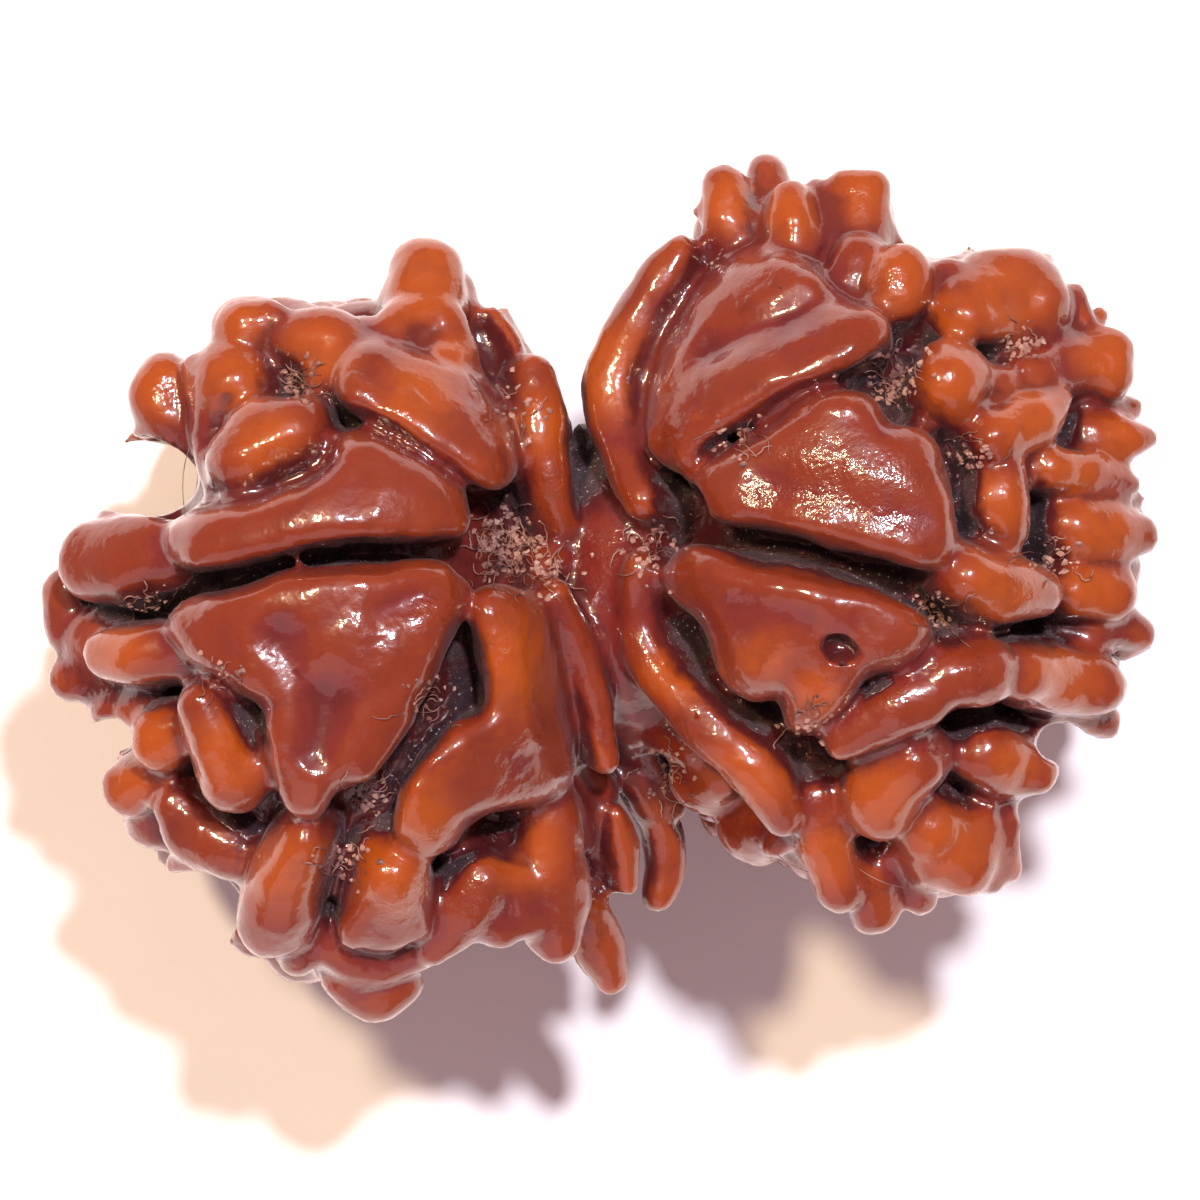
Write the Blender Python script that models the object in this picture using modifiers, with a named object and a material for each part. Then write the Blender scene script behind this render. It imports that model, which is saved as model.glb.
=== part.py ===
"""A twin rudraksha stone: two beads grown together side by side, as one solid.

The plan of the upper side is given in millimetres as the stone lies when it is
looked down on, with the joint between the beads close to the plan's own origin.
At the end the stone is turned so that the pair runs along X, and set down on its
lowest lobes with the middle of its box over the origin.
"""
import math
import random

import bmesh
import bpy
from mathutils import Matrix, Vector
from mathutils.geometry import intersect_point_line

# Driving sizes, in millimetres and degrees.
MM = 0.001
LEFT_MIDDLE = (-7.6, -1.0)
RIGHT_MIDDLE = (7.7, 1.7)
MIDDLE_HEIGHT = 10.4
REACH = (9.1, 11.8, 10.8)        # half sizes of the egg that a bead's lobes reach out to
GROOVE_DEPTH = 2.7               # from the lobes' tops to the floor of the grooves
ROOT_DEPTH = 3.3                 # a lobe's foot is sunk this far below the lobes' tops
BURIAL_DEPTH = 1.62              # lobes this far inside the other bead are left out
LIE_ANGLE = 9.6                  # the pair rises to the right in the plan by this angle
PLAN_CENTRE = (0.321, 0.301)     # middle of the turned stone's box, moved to the origin
RIM_SHARE = 0.8                  # past this share of the egg's plan, lobes stand out from it
RIM_FALL = 0.8                   # and fall by this much for each millimetre outwards
RIM_LIFT = 0.75                  # a lobe's foot at the rim is higher by this share of its depth
UPRIGHT = 0.6                    # how far the feet of the drawn lobes turn from inward to down
FOOT_FLARE = 0.7                 # how much wider a lobe gets towards its foot
STALK_SHARE = 0.45               # a lobe's stalk runs this far from it to the bead's middle
PETAL_EDGE = 0.75                # width of the rounding along a petal's rim
PETAL_DROP = 0.95                # how far the rim rolls down over that width
PETAL_SKIRT = 3.4                # a petal's underside is sunk this far

# Every line of a lobe is a list of (x, y, half width, depth below the lobes' tops).
LEFT_PETALS = {
    "upper": [(-7.7, 6.4), (-7.4, 7.3), (-6.5, 7.6), (-5.1, 6.8), (-3.5, 6.5), (-3.0, 5.4),
              (-2.4, 3.8), (-3.2, 3.3), (-4.6, 4.1), (-6.0, 5.0), (-7.4, 5.7)],
    "long": [(-12.9, 1.9), (-12.0, 2.7), (-10.2, 2.9), (-9.0, 3.3), (-8.1, 3.9), (-7.8, 4.7),
             (-7.2, 5.05), (-6.2, 4.7), (-4.8, 3.9), (-4.1, 3.1), (-4.1, 2.0), (-6.0, 1.8),
             (-8.7, 1.5), (-10.5, 1.1), (-12.2, 1.0)],
    "broad": [(-12.8, -0.7), (-11.9, 0.0), (-10.2, 0.5), (-8.7, 1.0), (-6.0, 1.1), (-4.6, 1.0),
              (-4.0, 0.2), (-4.3, -0.9), (-5.3, -2.9), (-6.4, -4.5), (-7.3, -5.4), (-7.9, -5.6),
              (-8.3, -6.4), (-8.9, -6.4), (-9.4, -5.6), (-9.8, -4.4), (-9.9, -3.2), (-11.0, -2.5),
              (-12.4, -1.5)],
    "boot": [(-3.2, 0.3), (-1.8, 0.0), (-1.4, -1.3), (-0.9, -4.3), (-1.0, -5.4), (-1.8, -6.0),
             (-3.3, -6.3), (-4.0, -6.7), (-4.5, -7.4), (-5.2, -7.6), (-6.0, -7.0), (-6.0, -6.0),
             (-5.3, -4.7), (-4.3, -3.7), (-3.4, -3.2), (-3.5, -1.6), (-3.7, -0.3)],
}
RIGHT_PETALS = {
    "round": [(5.0, 10.6), (6.0, 10.2), (7.4, 8.9), (8.4, 8.3), (8.5, 7.7), (7.4, 6.9),
              (5.2, 5.8), (3.2, 4.6), (2.7, 3.9), (2.1, 4.0), (1.6, 4.7), (1.6, 6.4),
              (2.1, 7.9), (3.0, 9.4), (4.0, 10.2)],
    "rough": [(2.7, 3.3), (3.0, 4.0), (4.5, 4.8), (6.0, 5.9), (7.1, 6.2), (8.0, 5.9),
              (8.6, 5.2), (9.7, 5.0), (10.3, 3.5), (10.4, 1.7), (9.9, 1.0), (8.1, 1.3),
              (6.0, 1.9), (3.6, 2.4)],
    "pitted": [(2.0, 0.9), (2.9, 1.6), (4.8, 1.1), (7.5, 0.4), (9.5, -0.4), (9.8, -1.1),
               (9.3, -1.8), (7.9, -2.2), (7.1, -3.2), (6.4, -3.9), (5.7, -3.7), (5.4, -2.8),
               (4.4, -2.8), (3.6, -2.1), (3.1, -0.7), (2.2, 0.1)],
}
LEFT_LOBES = {
    "seam bar": [(-2.0, 6.7, 0.6), (-1.8, 5.4, 0.68), (-1.65, 4.2, 0.6, 0.2), (-1.4, 3.0, 0.45, 0.5)],
    "seam fin": [(-3.2, 8.5, 0.35, 1.2), (-2.6, 7.6, 0.38, 1.0), (-2.4, 6.6, 0.35, 0.9)],
    "seam fin two": [(-2.9, 8.6, 0.3, 1.7), (-2.3, 7.4, 0.35, 1.5), (-1.7, 6.2, 0.3, 1.3)],
    "seam flake": [(-1.55, 6.0, 0.25, 1.4), (-1.1, 5.0, 0.28, 1.2)],
    "seam back": [(-3.5, 8.1, 0.5, 1.8), (-3.3, 6.9, 0.5, 1.8)],
    "seam foot": [(-0.5, 5.0, 0.35, 2.0), (-0.6, 4.0, 0.4, 2.0)],
    "thin bar": [(-1.3, 0.1, 0.5), (-0.6, -1.4, 0.48), (-0.1, -3.1, 0.46), (0.25, -4.8, 0.38)],
    "ear": [(-6.2, 7.6, 0.45, 0.4), (-6.0, 8.3, 0.5, 0.4), (-5.3, 8.6, 0.55, 0.4),
            (-4.5, 8.3, 0.52, 0.4), (-4.1, 7.3, 0.5, 0.4)],
    "ear bowl": [(-5.5, 7.7, 0.8, 0.9), (-4.8, 7.4, 0.8, 0.9)],
    "tall finger": [(-5.2, 9.65, 1.12, 0.5), (-5.25, 8.8, 1.36, 0.5), (-5.2, 7.8, 1.2, 1.4)],
    "finger behind": [(-4.2, 9.3, 0.5, 1.6), (-4.1, 8.4, 0.6, 1.6)],
    "shoulder": [(-9.0, 7.6, 0.85), (-7.8, 7.6, 0.92)],
    "shoulder nib": [(-7.0, 8.2, 0.3, 0.6), (-7.1, 7.6, 0.35, 0.6)],
    "corner knob": [(-10.4, 8.1, 0.85), (-9.7, 7.4, 0.8, 1.2)],
    "corner nib": [(-9.75, 8.5, 0.45), (-9.3, 8.0, 0.45, 0.8)],
    "upper ear": [(-10.9, 6.5, 1.1), (-10.3, 5.9, 1.1, 0.9)],
    "outer ear": [(-13.0, 6.6, 0.8, 0.8), (-13.2, 5.8, 0.87, 0.8), (-12.2, 4.9, 0.8, 1.6)],
    "outer nib": [(-12.7, 4.6, 0.35, 1.6), (-12.2, 4.3, 0.4, 2.0)],
    "pale rib": [(-12.1, 7.0, 0.4, 0.6), (-11.9, 6.2, 0.42, 0.6), (-11.6, 5.2, 0.4, 0.9)],
    "back wall": [(-11.9, 5.3, 0.4, 1.2), (-11.4, 3.4, 0.4, 1.2)],
    "inner ear": [(-10.5, 4.1, 1.0), (-9.9, 4.9, 1.12), (-9.3, 5.1, 0.95)],
    "west knob": [(-15.0, 1.15, 1.15), (-13.8, 1.15, 1.22), (-12.4, 1.2, 0.9, 0.9)],
    "west nib": [(-14.1, 2.15, 0.3, 0.6), (-12.7, 2.05, 0.3, 0.8)],
    "west back": [(-15.9, 0.2, 0.8, 1.6), (-15.85, -0.9, 0.78, 1.7)],
    "west toe": [(-14.6, -1.6, 0.72), (-13.6, -1.6, 0.85), (-12.4, -1.5, 0.8, 0.7)],
    "west heel": [(-15.75, -2.35, 0.75, 1.5), (-14.6, -2.3, 0.75, 1.7)],
    "west web": [(-15.2, -1.4, 0.6, 2.0), (-14.2, -1.1, 0.6, 2.0)],
    "small nib": [(-14.0, -3.3, 0.45, 1.4), (-13.4, -3.0, 0.5, 1.6)],
    "bright knob": [(-13.1, -4.2, 0.85, 0.5), (-12.5, -3.8, 0.85, 1.0)],
    "bright finger": [(-14.15, -5.65, 0.78, 1.2), (-13.1, -5.0, 0.8, 1.4)],
    "drop": [(-11.7, -3.2, 0.78), (-11.3, -4.2, 0.92), (-10.8, -5.2, 1.12)],
    "layered knob": [(-12.6, -6.1, 0.75, 1.0), (-12.0, -6.7, 1.05, 0.9), (-11.0, -7.3, 1.0, 0.9)],
    "broad leg": [(-9.2, -3.6, 0.6, 0.1), (-9.05, -4.8, 0.6, 0.1), (-8.8, -5.85, 0.55, 0.1)],
    "broad toe": [(-6.3, -3.4, 0.8, 0.1), (-7.2, -4.7, 0.65, 0.1)],
    "south west": [(-8.8, -7.2, 0.75, 0.2), (-9.3, -8.3, 1.0), (-9.65, -9.55, 1.08)],
    "south west nib": [(-9.0, -10.6, 0.62, 1.0), (-8.7, -9.6, 0.7, 1.2)],
    "south knob": [(-6.1, -7.9, 0.95, 0.1), (-6.4, -8.8, 1.15, 0.1), (-6.5, -9.4, 1.0, 0.1)],
    "south toe left": [(-7.3, -9.9, 0.5, 0.2), (-6.8, -9.0, 0.6, 0.2)],
    "south toe right": [(-5.5, -9.7, 0.5, 0.2), (-5.8, -8.9, 0.65, 0.2)],
    "south band": [(-7.9, -10.4, 0.6, 1.1), (-6.7, -10.9, 0.6, 1.1), (-5.3, -10.6, 0.5, 1.1)],
    "south foot": [(-7.3, -11.7, 0.88, 1.6), (-6.3, -11.7, 0.85, 1.6)],
    "south fin": [(-3.5, -8.3, 0.85, 0.3), (-4.2, -9.3, 0.95, 0.3), (-5.0, -10.5, 0.45, 0.6)],
    "south fin root": [(-3.7, -9.2, 0.75, 0.5), (-3.0, -9.8, 0.55, 0.5)],
    "great fin": [(-1.5, -6.7, 0.95, 0.4), (-1.6, -8.0, 1.25, 0.1), (-1.5, -9.3, 1.2, 0.1),
                  (-1.2, -10.3, 0.7, 0.1)],
    "great fin side": [(-2.7, -8.4, 0.85, 0.3), (-2.2, -9.3, 0.8, 0.3)],
    "south east finger": [(-0.3, -9.4, 0.7, 1.4), (0.0, -10.5, 0.8, 1.4), (0.3, -11.35, 0.58, 1.4)],
    "waist finger": [(0.4, -6.4, 0.42, 1.3), (0.7, -7.4, 0.5, 1.3), (0.75, -8.5, 0.42, 1.4)],
    "waist back": [(-0.5, -6.2, 0.5, 2.2), (-0.2, -7.4, 0.5, 2.2), (0.1, -8.5, 0.4, 2.2)],
    "waist fin": [(1.0, -5.4, 0.5, 2.3), (1.8, -6.8, 0.65, 2.3), (2.0, -7.9, 0.76, 2.3),
                  (1.75, -8.85, 0.6, 2.3)],
    "waist fold": [(1.4, -4.6, 0.45, 1.9), (2.0, -5.5, 0.4, 1.9), (2.3, -6.3, 0.3, 1.9)],
}
RIGHT_LOBES = {
    "seam bar": [(2.4, 10.4, 0.5), (2.0, 9.7, 0.72), (1.1, 8.2, 0.9), (0.45, 6.3, 0.92),
                 (0.7, 4.4, 0.7), (1.3, 2.9, 0.5)],
    "south bar": [(1.2, 0.9, 0.55), (1.2, -0.5, 0.7), (1.75, -2.0, 0.78), (3.1, -3.6, 0.8),
                  (4.6, -5.1, 0.82), (5.4, -6.3, 0.65)],
    "pitted ridge": [(2.7, 0.75, 0.55), (4.2, 0.5, 0.7), (6.5, -0.1, 0.75), (8.6, -1.0, 0.7)],
    "pitted toe": [(4.7, -1.0, 0.55, 0.2), (4.3, -2.2, 0.5, 0.2)],
    "pitted toe two": [(6.4, -2.2, 0.5, 0.2), (6.05, -3.3, 0.5, 0.2)],
    "petal fold": [(7.9, 7.9, 0.75), (6.0, 7.1, 0.72), (3.6, 5.9, 0.65), (2.0, 4.7, 0.5)],
    "north knob": [(3.7, 12.2, 0.78, 0.2), (3.8, 11.4, 0.87, 0.2), (4.0, 10.6, 0.8, 0.8)],
    "north nib": [(2.9, 11.6, 0.25, 0.8), (3.3, 11.2, 0.3, 1.0)],
    "north back": [(5.0, 12.75, 0.68, 1.4), (5.1, 11.8, 0.7, 1.4)],
    "north finger": [(5.6, 11.95, 0.62), (5.7, 11.2, 0.75), (5.95, 10.4, 0.7, 0.5)],
    "north wall": [(6.5, 12.1, 0.45, 1.2), (6.7, 10.8, 0.5, 1.0)],
    "square knob": [(7.45, 12.25, 0.68, 0.6), (8.05, 12.25, 0.66, 0.6)],
    "square knob root": [(7.8, 12.1, 0.8, 0.6), (7.8, 10.9, 0.85, 0.9)],
    "link knob": [(7.7, 10.1, 0.7, 0.4), (7.4, 9.3, 0.75, 0.8)],
    "round knob": [(8.85, 9.6, 0.88), (8.6, 8.8, 0.85, 0.7)],
    "great knob": [(11.1, 9.3, 1.05), (12.2, 9.2, 1.25), (12.95, 8.8, 1.0)],
    "great knob low": [(10.8, 8.5, 0.8, 0.1), (12.2, 8.4, 0.95, 0.1)],
    "great knob nib": [(13.2, 10.05, 0.35, 0.8), (13.0, 9.3, 0.5, 0.8)],
    "pink rib": [(14.2, 9.1, 0.4, 0.6), (14.4, 8.3, 0.45, 0.6)],
    "pink rib two": [(14.9, 8.5, 0.35, 1.2), (14.7, 7.9, 0.4, 1.2)],
    "east ear": [(15.1, 7.35, 0.85), (15.15, 6.7, 0.78)],
    "east saddle": [(12.9, 7.0, 0.65, 0.3), (13.9, 6.9, 0.7, 0.3)],
    "east lip": [(15.9, 5.7, 0.4, 1.2), (14.9, 5.7, 0.5, 1.2)],
    "tooth one": [(16.35, 4.85, 0.4, 0.3), (15.6, 4.85, 0.72, 0.3), (14.6, 4.95, 0.7, 0.7)],
    "tooth two": [(13.8, 6.1, 0.32, 0.1), (12.9, 5.5, 0.7, 0.1), (11.7, 4.95, 0.68, 0.3)],
    "dome": [(10.3, 6.5, 0.95, 0.1), (10.0, 6.2, 0.95, 0.6)],
    "dome bridge": [(12.1, 6.5, 0.45, 0.7), (11.4, 6.4, 0.5, 0.7)],
    "tooth three": [(15.9, 3.45, 0.38, 0.5), (15.2, 3.6, 0.6, 0.4), (14.4, 3.8, 0.66, 0.3),
                    (13.3, 3.9, 0.6, 0.5)],
    "tooth nib": [(15.9, 3.0, 0.42, 1.2), (14.9, 3.0, 0.5, 1.2)],
    "east finger": [(16.05, 1.95, 0.66, 0.2), (15.2, 2.0, 1.05, 0.1), (14.0, 2.1, 0.95, 0.4)],
    "inner knob": [(11.8, 3.7, 0.6, 0.8), (11.7, 2.9, 0.75, 0.7), (11.9, 2.2, 0.6, 0.9)],
    "long knob": [(10.9, 0.7, 0.8), (11.8, 0.35, 1.0), (12.9, 0.3, 0.8, 0.3)],
    "long knob east": [(14.1, 0.3, 0.75, 0.3), (15.1, 0.25, 0.9, 0.1)],
    "south east lip": [(15.3, -0.6, 0.7, 0.9), (16.1, -1.0, 0.52, 0.9)],
    "south east lip two": [(15.6, -1.3, 0.5, 1.5), (16.2, -1.2, 0.42, 1.5)],
    "chain west": [(7.3, -4.2, 0.5, 0.1), (8.2, -3.5, 0.7, 0.1), (9.5, -2.9, 0.75)],
    "chain middle": [(10.4, -2.1, 0.7), (11.3, -2.1, 0.9)],
    "chain east": [(12.5, -2.1, 0.62), (13.6, -2.3, 0.8), (14.85, -2.5, 0.82)],
    "chain nib": [(15.1, -3.7, 0.55, 1.4), (14.4, -3.4, 0.5, 1.4)],
    "lower ear": [(11.3, -4.3, 0.8, 0.5), (12.2, -4.9, 1.0, 0.4), (13.0, -5.2, 0.6, 0.4)],
    "lower knob": [(9.2, -4.8, 0.72, 0.1), (8.5, -5.4, 0.95, 0.1), (8.4, -6.2, 0.85, 0.1)],
    "low wing": [(9.5, -6.8, 0.85, 0.1), (10.1, -7.5, 1.15, 0.1), (10.9, -7.8, 1.0, 0.1)],
    "low fin one": [(11.5, -6.7, 0.5, 0.7), (11.6, -8.2, 0.55, 0.7)],
    "low fin two": [(12.2, -6.7, 0.45, 1.0), (12.2, -8.0, 0.48, 1.0)],
    "south finger": [(6.5, -6.1, 0.62, 0.3), (6.8, -7.3, 0.82, 0.1), (7.15, -8.6, 0.65, 0.1)],
    "south toe": [(8.3, -9.25, 0.66, 0.8), (8.0, -8.3, 0.7, 0.8)],
    "south toe two": [(9.6, -8.85, 0.6, 1.3), (9.4, -8.1, 0.65, 1.3)],
    "south web": [(5.2, -7.3, 0.35, 0.9), (5.8, -6.6, 0.5, 0.9)],
}
WAIST_LOBES = {
    "bridge": [(-1.4, 1.9, 0.7, 0.2), (0.4, 1.5, 0.7, 0.4), (2.0, 1.4, 0.6, 0.2)],
}

# Valleys (+) and crests (-) pressed into the petals: (x, y) to (x, y), half width, depth.
FOLDS = [
    ((-9.3, -1.2), (-8.1, -3.0), 0.75, 0.8),
    ((-8.1, -3.0), (-8.4, -4.4), 0.6, 0.75),
    ((-6.4, -0.2), (-5.0, 0.2), 0.35, 0.3),
    ((-2.4, -1.6), (-2.2, -4.0), 0.5, -0.25),
    ((7.0, 9.0), (3.4, 7.4), 0.5, 0.5),
    ((5.0, 3.2), (9.4, 2.4), 0.6, 0.25),
    ((3.0, 0.8), (6.2, 0.0), 0.4, -0.2),
]
# Open pits: middle of the mouth (x, y), half sizes (across x, across y), depth.
PITS = [
    (RIGHT_MIDDLE, (2.15, 2.9), (0.7, 1.0), 4.0),
    (LEFT_MIDDLE, (-3.6, 1.2), (0.4, 0.4), 2.6),
    (RIGHT_MIDDLE, (7.1, -1.5), (0.6, 0.38), 0.9),
]
# Deep clefts down the flanks, open to the ground: middle (x, y), half sizes (x, y).
CLEFTS = [
    ((-13.8, 3.65), (1.85, 1.25)),
    ((-14.6, -4.1), (0.75, 0.55)),
    ((-12.25, -9.3), (1.6, 1.35)),
    ((9.9, 11.5), (1.0, 1.45)),
    ((13.75, -4.3), (0.85, 0.65)),
]
CLEFT_HALF_HEIGHT = 10.0
# The body that fuses the two beads, an egg drawn in below every lobe.
WAIST_MIDDLE = (0.9, 0.2)
WAIST_REACH = (3.6, 5.2, 6.2)

# The hidden flanks and underside, where the lobes follow a rule: short bars and knobs in
# rows round the bead, which stay inside the outline that the drawn lobes have from above.
FLANK_ROWS = [(22, 22), (5, 23), (-12, 23), (-29, 21), (-45, 17), (-60, 12)]  # latitude, lobes
FLANK_WIDTHS = (0.75, 1.2)       # least and greatest half width of a lobe
FLANK_LENGTHS = (0.1, 1.4)       # least and greatest half length
FLANK_DEPTHS = (0.0, 0.5)        # how far their tops lie below the egg
NOTCH_SHARE = 0.86               # the outline's share of the egg where no lobe reaches the rim
FLANK_INSET = 0.15               # how far inside the outline the flanks stay
FLANK_SEED = 31
BASE_BARS = 7
BASE_BAR_WIDTH = 0.85

# How finely the lobes are made, and the skin that is left over all of them.
LOBE_SIDES = 12
LOBE_CAP_RINGS = 4
RIM_STEPS = 3
SKIN_GRAIN = 0.2
TRIANGLES = 11600
GROUND_BOX = (60.0, 4.0)         # side and depth of the box that cuts the resting spots


def plan_share(bead, x, y, depth=0.0):
    """How far a plan point is from a bead's middle, as a share of its egg drawn in by a depth."""
    return math.hypot((x - bead[0]) / (REACH[0] - depth), (y - bead[1]) / (REACH[1] - depth))


def surface(bead, x, y, depth):
    """The point over (x, y) on a bead's egg, drawn in by a depth, and flatter near the rim."""
    share = plan_share(bead, x, y, depth)
    height = (REACH[2] - depth) * math.sqrt(1.0 - min(share, RIM_SHARE) ** 2)
    fall = max(0.0, share - RIM_SHARE) * (REACH[0] - depth) * RIM_FALL
    return Vector((x, y, MIDDLE_HEIGHT + height - fall))


def outward(bead, point):
    """The direction straight out of a bead's egg at a point near it."""
    away = point - Vector((bead[0], bead[1], MIDDLE_HEIGHT))
    return Vector([a / size ** 2 for a, size in zip(away, REACH)]).normalized()


def along(line, t):
    """A point and the direction at t from 0 to 1 along a line of stations."""
    span = t * (len(line) - 1)
    i = min(int(span), len(line) - 2)
    f = span - i
    first, second = line[i], line[i + 1]
    before = line[max(i - 1, 0)][0]
    after = line[min(i + 2, len(line) - 1)][0]
    a, b = first[0], second[0]
    out = (b - before) * 0.5
    into = (after - a) * 0.5
    point = (a * (2 * f ** 3 - 3 * f ** 2 + 1) + out * (f ** 3 - 2 * f ** 2 + f)
             + b * (3 * f ** 2 - 2 * f ** 3) + into * (f ** 3 - f ** 2))
    slope = (a * (6 * f ** 2 - 6 * f) + out * (3 * f ** 2 - 4 * f + 1)
             + b * (6 * f - 6 * f ** 2) + into * (3 * f ** 2 - 2 * f))
    width = first[1] + (second[1] - first[1]) * f
    depth = first[2] + (second[2] - first[2]) * f
    return point, slope.normalized(), width, depth


def lobe(collection, name, bead, stations, upright=0.0):
    """A sphere drawn out along a line, its lower side sunk to the roots' depth.

    The foot points into the bead, or straight down where upright is 1.
    """
    cap = LOBE_CAP_RINGS
    middle = 3 * (len(stations) - 1)
    rings = 2 * cap + middle
    bm = bmesh.new()
    bmesh.ops.create_uvsphere(bm, u_segments=LOBE_SIDES, v_segments=rings, radius=1.0)
    for vert in bm.verts:
        level = round((0.5 + math.asin(max(-1.0, min(1.0, vert.co.z))) / math.pi) * rings)
        around = math.atan2(vert.co.y, vert.co.x)
        if level < cap:
            point, slope, width, depth = along(stations, 0.0)
            tip = math.pi / 2 * (1 - level / cap)
            point = point - slope * (width * math.sin(tip))
            radius = width * math.cos(tip)
        elif level > cap + middle:
            point, slope, width, depth = along(stations, 1.0)
            tip = math.pi / 2 * (level - cap - middle) / cap
            point = point + slope * (width * math.sin(tip))
            radius = width * math.cos(tip)
        else:
            point, slope, width, depth = along(stations, (level - cap) / middle)
            radius = width
        up = outward(bead, point).lerp(Vector((0, 0, 1)), upright).normalized()
        rise = up - slope * up.dot(slope)
        leaning = rise.length
        if leaning < 0.05:
            rise = slope.orthogonal()
        rise.normalize()
        side = slope.cross(rise)
        up_part = math.sin(around)
        side_part = math.cos(around)
        if up_part < 0:
            below = max(0.0, ROOT_DEPTH - depth - 2 * width) * leaning / width
            side_part *= 1 - FOOT_FLARE * min(below, 1.0) * up_part
            up_part *= 1 + below
        vert.co = point + side * (radius * side_part) + rise * (radius * up_part)
    bmesh.ops.recalc_face_normals(bm, faces=bm.faces)
    add_solid(collection, name, bm)


def add_solid(collection, name, bm):
    """Puts a closed mesh in the collection, in metres."""
    bmesh.ops.scale(bm, vec=(MM, MM, MM), verts=bm.verts)
    mesh = bpy.data.meshes.new(name)
    bm.to_mesh(mesh)
    bm.free()
    solid = bpy.data.objects.new(name, mesh)
    collection.objects.link(solid)
    return solid


def plan_lobe(collection, name, bead, line):
    """A lobe whose line is drawn in the plan: its top follows the bead's egg.

    A stalk roots the end that is nearer the bead's middle.
    """
    stations = []
    for entry in line:
        x, y, width = entry[:3]
        depth = entry[3] if len(entry) > 3 else 0.0
        past = max(0.0, plan_share(bead, x, y) - RIM_SHARE) / (1 - RIM_SHARE)
        sunk = depth + ROOT_DEPTH * RIM_LIFT * min(past, 1.0)
        stations.append((surface(bead, x, y, depth + width), width, sunk))
    lobe(collection, name, bead, stations, UPRIGHT)
    foot, width, depth = min(stations, key=lambda station: plan_share(bead, *station[0].xy))
    root = foot.lerp(Vector((*bead, MIDDLE_HEIGHT)), STALK_SHARE)
    lobe(collection, name + " stalk", bead, [(foot, width * 0.8, ROOT_DEPTH), (root, width, ROOT_DEPTH)])


def rim_distance(x, y, outline):
    """How far a plan point is from an outline."""
    best = 99.0
    spot = Vector((x, y, 0))
    for i, corner in enumerate(outline):
        a = Vector((*outline[i - 1], 0))
        b = Vector((*corner, 0))
        near, part = intersect_point_line(spot, a, b)
        near = a if part < 0 else b if part > 1 else near
        best = min(best, (spot - near).length)
    return best


def fold_depth(x, y):
    """How far the folds press the petals' tops down at a plan point."""
    total = 0.0
    spot = Vector((x, y, 0))
    for start, end, half_width, depth in FOLDS:
        a = Vector((*start, 0))
        b = Vector((*end, 0))
        near, part = intersect_point_line(spot, a, b)
        near = a if part < 0 else b if part > 1 else near
        total += depth * math.exp(-((spot - near).length / half_width) ** 2)
    return total


def rounded(outline):
    """An outline with extra points that curve through its corners."""
    count = len(outline)
    points = []
    for i in range(count):
        before, a, b, after = (outline[(i + k) % count] for k in (-1, 0, 1, 2))
        for step in range(RIM_STEPS):
            f = step / RIM_STEPS
            weights = (-0.5 * f + f * f - 0.5 * f ** 3, 1 - 2.5 * f * f + 1.5 * f ** 3,
                       0.5 * f + 2 * f * f - 1.5 * f ** 3, 0.5 * f ** 3 - 0.5 * f * f)
            points.append(tuple(sum(w * corner[k] for w, corner in zip(weights, (before, a, b, after)))
                                for k in (0, 1)))
    return points


def petal(collection, name, bead, outline):
    """A thick plate that follows the bead, with a rolled rim and its foot in the bead."""
    rim = rounded(outline)
    bm = bmesh.new()
    bm.faces.new([bm.verts.new((x, y, 0)) for x, y in rim])
    bmesh.ops.triangulate(bm, faces=bm.faces)
    inner = [edge for edge in bm.edges if not edge.is_boundary]
    bmesh.ops.subdivide_edges(bm, edges=inner, cuts=5, use_grid_fill=True)
    bmesh.ops.triangulate(bm, faces=bm.faces)
    rim_edges = [edge for edge in bm.edges if edge.is_boundary]
    for vert in bm.verts:
        x, y = vert.co.x, vert.co.y
        inward = min(rim_distance(x, y, rim) / PETAL_EDGE, 1.0)
        depth = PETAL_DROP * (1 - math.sqrt(1 - (1 - inward) ** 2)) + fold_depth(x, y)
        vert.co = surface(bead, x, y, depth)
    skirt = bmesh.ops.extrude_edge_only(bm, edges=rim_edges)
    foot = [item for item in skirt["geom"] if isinstance(item, bmesh.types.BMVert)]
    middle = sum((vert.co for vert in foot), Vector()) / len(foot)
    for vert in foot:
        inner_point = vert.co.lerp(middle, 0.1)
        vert.co = surface(bead, inner_point.x, inner_point.y, PETAL_SKIRT)
    foot_edges = [item for item in skirt["geom"] if isinstance(item, bmesh.types.BMEdge)]
    bmesh.ops.contextual_create(bm, geom=[edge for edge in foot_edges if edge.is_boundary])
    bmesh.ops.triangulate(bm, faces=bm.faces)
    bmesh.ops.recalc_face_normals(bm, faces=bm.faces)
    add_solid(collection, name, bm)


def egg(collection, name, middle, half, turn=None):
    """An egg of three half sizes, turned about its middle where a turn is given."""
    bm = bmesh.new()
    bmesh.ops.create_icosphere(bm, subdivisions=4, radius=1.0)
    bmesh.ops.scale(bm, vec=half, verts=bm.verts)
    if turn:
        bmesh.ops.rotate(bm, matrix=turn, verts=bm.verts)
    bmesh.ops.translate(bm, vec=middle, verts=bm.verts)
    return add_solid(collection, name, bm)


def egg_point(bead, latitude, longitude, depth):
    """A point of the bead's egg by latitude and longitude in degrees, drawn in by a depth."""
    half = [size - depth for size in REACH]
    lat, lon = math.radians(latitude), math.radians(longitude)
    return Vector((bead[0] + half[0] * math.cos(lat) * math.cos(lon),
                   bead[1] + half[1] * math.cos(lat) * math.sin(lon),
                   MIDDLE_HEIGHT + half[2] * math.sin(lat)))


def inside(other, point):
    """Whether a point is buried in the other bead."""
    away = point - Vector((*other, MIDDLE_HEIGHT))
    return sum((a / (size - BURIAL_DEPTH)) ** 2 for a, size in zip(away, REACH)) < 1.0


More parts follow.
